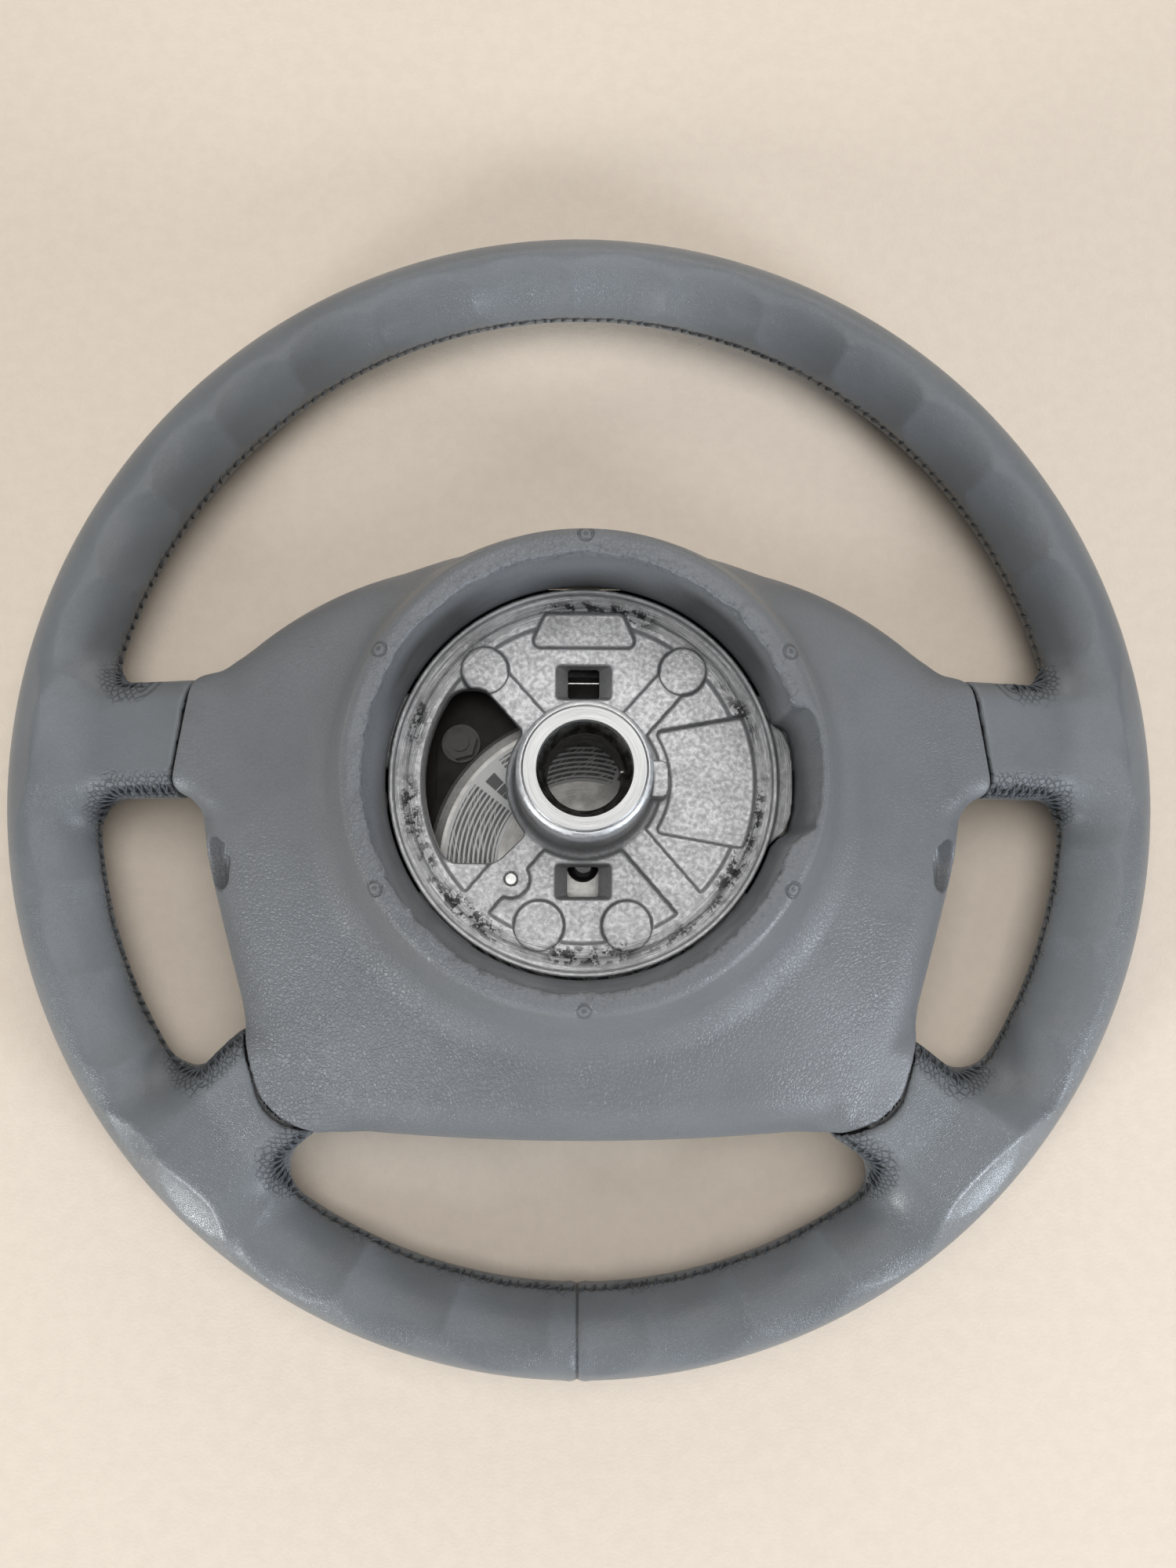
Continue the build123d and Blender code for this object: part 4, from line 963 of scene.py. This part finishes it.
def woven(name, base, pitch, depth):
    """Plain weave in the plan directions."""
    p = Paint(name)
    x, y, z = p.axes()
    k = 2 * math.pi / (pitch * MM)
    warp = p.math("SINE", p.times(p.math("ADD", x, z), k))
    weft = p.math("SINE", p.times(p.math("SUBTRACT", y, z), k))
    weave = p.math("MULTIPLY_ADD", p.times(warp, weft), 0.5, 0.5)
    crease = p.noise(60, 4, 0.6, distortion=0.8)
    colour = p.mix(weave, shade(base, 0.8), shade(base, 1.08))
    # painted shade in the fabric's creases
    colour = p.mix(p.times(p.ramp(crease, 0.5, 0.7), 0.3), colour, shade(base, 0.7))
    p.set(Base_Color=colour, Roughness=0.8)
    return p.bump(weave, depth).bump(crease, depth * 6)


def seam_thread():
    p = Paint("seam_thread")
    base = (0.075, 0.083, 0.092)
    ply = p.noise(2400, 3, 0.6)
    p.set(Base_Color=p.mix(ply, shade(base, 0.6), shade(base, 1.35)), Roughness=0.72)
    return p.bump(ply, 0.06)


def printed_label(centre):
    """Grey label film with rows of plain bars where the print is."""
    p = Paint("printed_label")
    r, turn = p.polar(centre)
    film = p.mix(p.noise(140, 4), (0.62, 0.62, 0.61), (0.76, 0.76, 0.75))
    row = p.math("FRACT", p.math("DIVIDE", r, 1.55))
    number = p.math("FLOOR", p.math("DIVIDE", r, 1.55))
    arc = p.times(p.times(turn, 2 * math.pi), r)
    words = p.noise(1.0, 2, 0.7, at=p.point(p.times(arc, 0.95), p.times(number, 7.7), 0.0))
    letters = p.noise(1.0, 1, 0.5, at=p.point(p.times(arc, 3.2), p.times(number, 5.1), 4.0))
    line = p.times(p.ramp(row, 0.16, 0.26), p.ramp(row, 0.84, 0.74))
    ink = p.times(line, p.times(p.ramp(words, 0.37, 0.41), p.ramp(letters, 0.30, 0.36)))
    # the print is in blocks, with a heading bar and a rule between them
    block = p.math("FRACT", p.math("MULTIPLY_ADD", turn, 5.0, 0.18))
    body = p.times(p.ramp(block, 0.16, 0.17), p.ramp(block, 0.97, 0.96))
    ink = p.times(ink, body)
    head = p.times(p.times(p.ramp(block, 0.03, 0.04), p.ramp(block, 0.12, 0.11)),
                  p.times(p.ramp(r, 30.5, 30.8), p.ramp(r, 42.2, 41.9)))
    head = p.times(head, p.ramp(p.noise(1.0, 1, at=p.point(p.times(r, 0.9), 2.0, 0.0)), 0.36, 0.4))
    inside = p.times(p.ramp(r, 28.6, 28.9), p.ramp(r, 44.3, 44.0))
    ink = p.times(p.math("MAXIMUM", ink, head), inside)
    colour = p.mix(p.times(ink, 0.9), film, (0.03, 0.03, 0.03))
    p.set(Base_Color=colour, Roughness=p.ramp(p.noise(200, 3), 0.3, 0.7, 0.42, 0.55))
    return p.bump(p.noise(90, 3), 0.05)


def foam():
    p = Paint("rim_foam")
    cells = p.cells(900, "F1")
    p.set(Base_Color=p.mix(cells, (0.10, 0.10, 0.11), (0.20, 0.20, 0.21)), Roughness=0.85)
    return p.bump(cells, 0.2)


GREY = (0.160, 0.166, 0.174)
INFLATOR = (0.0, -26.7)
paints = {
    "cast_aluminium": cast_aluminium(),
    "machined_steel": turned_bush(),
    "bright_steel": metal("bright_steel", (0.66, 0.66, 0.64), 0.27, dirt=0.35),
    "core_steel": metal("core_steel", (0.30, 0.30, 0.30), 0.5, dirt=0.6),
    "rim_foam": foam(),
    "rim_leather": grey_leather(),
    "seam_thread": seam_thread(),
    "grey_vinyl": grained_vinyl("grained_vinyl", GREY),
    "cover_vinyl": grained_vinyl("cover_vinyl", GREY, marks=True),
    "zinc_steel": metal("zinc_steel", (0.50, 0.48, 0.42), 0.34, dirt=0.45),
    "black_steel": metal(
        "black_steel", (0.022, 0.021, 0.020), 0.20, dirt=0.4, metallic=0.3, specular=0.3),
    "white_plastic": plain("white_plastic", (0.70, 0.69, 0.63), 0.45),
    "contact_brass": metal("contact_brass", (0.62, 0.44, 0.18), 0.3, dirt=0.4),
    "tray_steel": metal(
        "tray_steel", (0.012, 0.010, 0.009), 0.40, grain=300.0, dirt=0.5, metallic=0.2, specular=0.14),
    "can_steel": metal("can_steel", (0.42, 0.41, 0.39), 0.42, dirt=0.3, metallic=0.7, ring_centre=INFLATOR),
    "label_film": printed_label(INFLATOR),
    "black_plastic": plain("black_plastic", (0.012, 0.012, 0.012), 0.12, depth=0.01),
    "pressed_powder": plain(
        "pressed_powder", (0.50, 0.47, 0.40), 0.9, grain=1400.0, depth=0.2, spread=0.2),
    "airbag_fabric": woven("airbag_fabric", (0.62, 0.62, 0.58), 0.8, 0.08),
}


def dress(obj, paint):
    """Gives an object one material."""
    obj.data.materials.clear()
    obj.data.materials.append(paints[paint].material)


slots = {s["node"]: s["material_slot"] for s in frame["record"]["subparts"]}
for name, obj in nodes.items():
    dress(obj, slots[name])
dress(nodes["igniter"], "can_steel")

# object, the CAD node that it shows, its body and its material
SHOWN = (
    (rim_leather, "rim_leather", "wheel", "rim_leather"),
    (rim_foam, "rim_foam", "wheel", "rim_foam"),
    (rim_thread, "rim_thread", "wheel", "seam_thread"),
    (rear_cover, "rear_cover", "wheel", "cover_vinyl"),
    (airbag_cover, "airbag_cover", "airbag_module", "grey_vinyl"),
    (hub_armature, "hub_armature", "wheel", "cast_aluminium"))
for obj, node, body, paint in SHOWN:
    dress(obj, paint)
    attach(obj, body)
    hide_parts(node)

# ------------------------------------------------------------------ floor, light and camera
floor_mesh = bpy.data.meshes.new("floor")
floor_mesh.from_pydata([(-3, -3, 0), (3, -3, 0), (3, 3, 0), (-3, 3, 0)], [], [(0, 1, 2, 3)])
floor = bpy.data.objects.new("floor", floor_mesh)
floor.location.z = -0.0002
bpy.context.scene.collection.objects.link(floor)
sheet = Paint("pale_floor")
cloud = sheet.ramp(sheet.noise(160, 5, 0.7), 0.35, 0.65)
sheet.set(Base_Color=sheet.mix(cloud, (0.725, 0.625, 0.52), (0.75, 0.65, 0.54)), Roughness=0.85)
sheet.bump(sheet.noise(900, 3), 0.1)
floor.data.materials.append(sheet.material)
floor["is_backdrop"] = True


def area_light(name, place, target, size, power, colour):
    """A soft rectangular light; place, target and size are in metres."""
    data = bpy.data.lights.new(name, "AREA")
    data.shape = "RECTANGLE"
    data.size, data.size_y = size
    data.energy, data.color = power, colour
    obj = bpy.data.objects.new(name, data)
    obj.location = place
    obj.rotation_euler = (Vector(target) - Vector(place)).to_track_quat("-Z", "Y").to_euler()
    bpy.context.scene.collection.objects.link(obj)
    obj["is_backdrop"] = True


area_light("ceiling", (0.1, 0.35, 1.7), (0, 0, 0), (1.9, 1.5), 19, (1.0, 0.99, 0.98))
area_light("window_right", (1.35, -1.15, 0.60), (0.05, -0.1, 0), (0.5, 0.42), 26, (0.84, 0.91, 1.0))
area_light("window_left", (-1.25, -1.25, 0.56), (-0.05, -0.1, 0), (0.42, 0.38), 22, (0.95, 0.98, 1.0))
area_light("far_wall", (0.2, 1.7, 0.7), (0, 0, 0), (1.8, 0.7), 10, (1.0, 0.98, 0.95))

world = bpy.data.worlds.new("room")
world.use_nodes = True
background = world.node_tree.nodes["Background"]
background.inputs["Color"].default_value = (0.93, 0.96, 1.0, 1)
background.inputs["Strength"].default_value = 0.19
bpy.context.scene.world = world
bpy.context.scene.view_settings.view_transform = "Standard"

camera = bpy.data.objects.new("camera", bpy.data.cameras.new("camera"))
bpy.context.scene.collection.objects.link(camera)
camera.data.sensor_fit = "HORIZONTAL"
camera.data.sensor_width = camera.data.lens = 36.0
camera.data.clip_start = 0.02
# place in metres and turn in degrees, as fitted to the photo's viewing angle
camera_place = Vector((-0.003572, -0.031052, 0.417985))
camera_turn = Euler([math.radians(a) for a in (4.6559, -0.7944, 0.2078)])
camera.matrix_world = Matrix.LocRotScale(camera_place, camera_turn, None)
bpy.context.scene.camera = camera

size_lines.append(("shown", *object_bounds()))
for label, low, high in size_lines:
    line = {"what": label, "low": [round(c, 5) for c in low], "high": [round(c, 5) for c in high]}
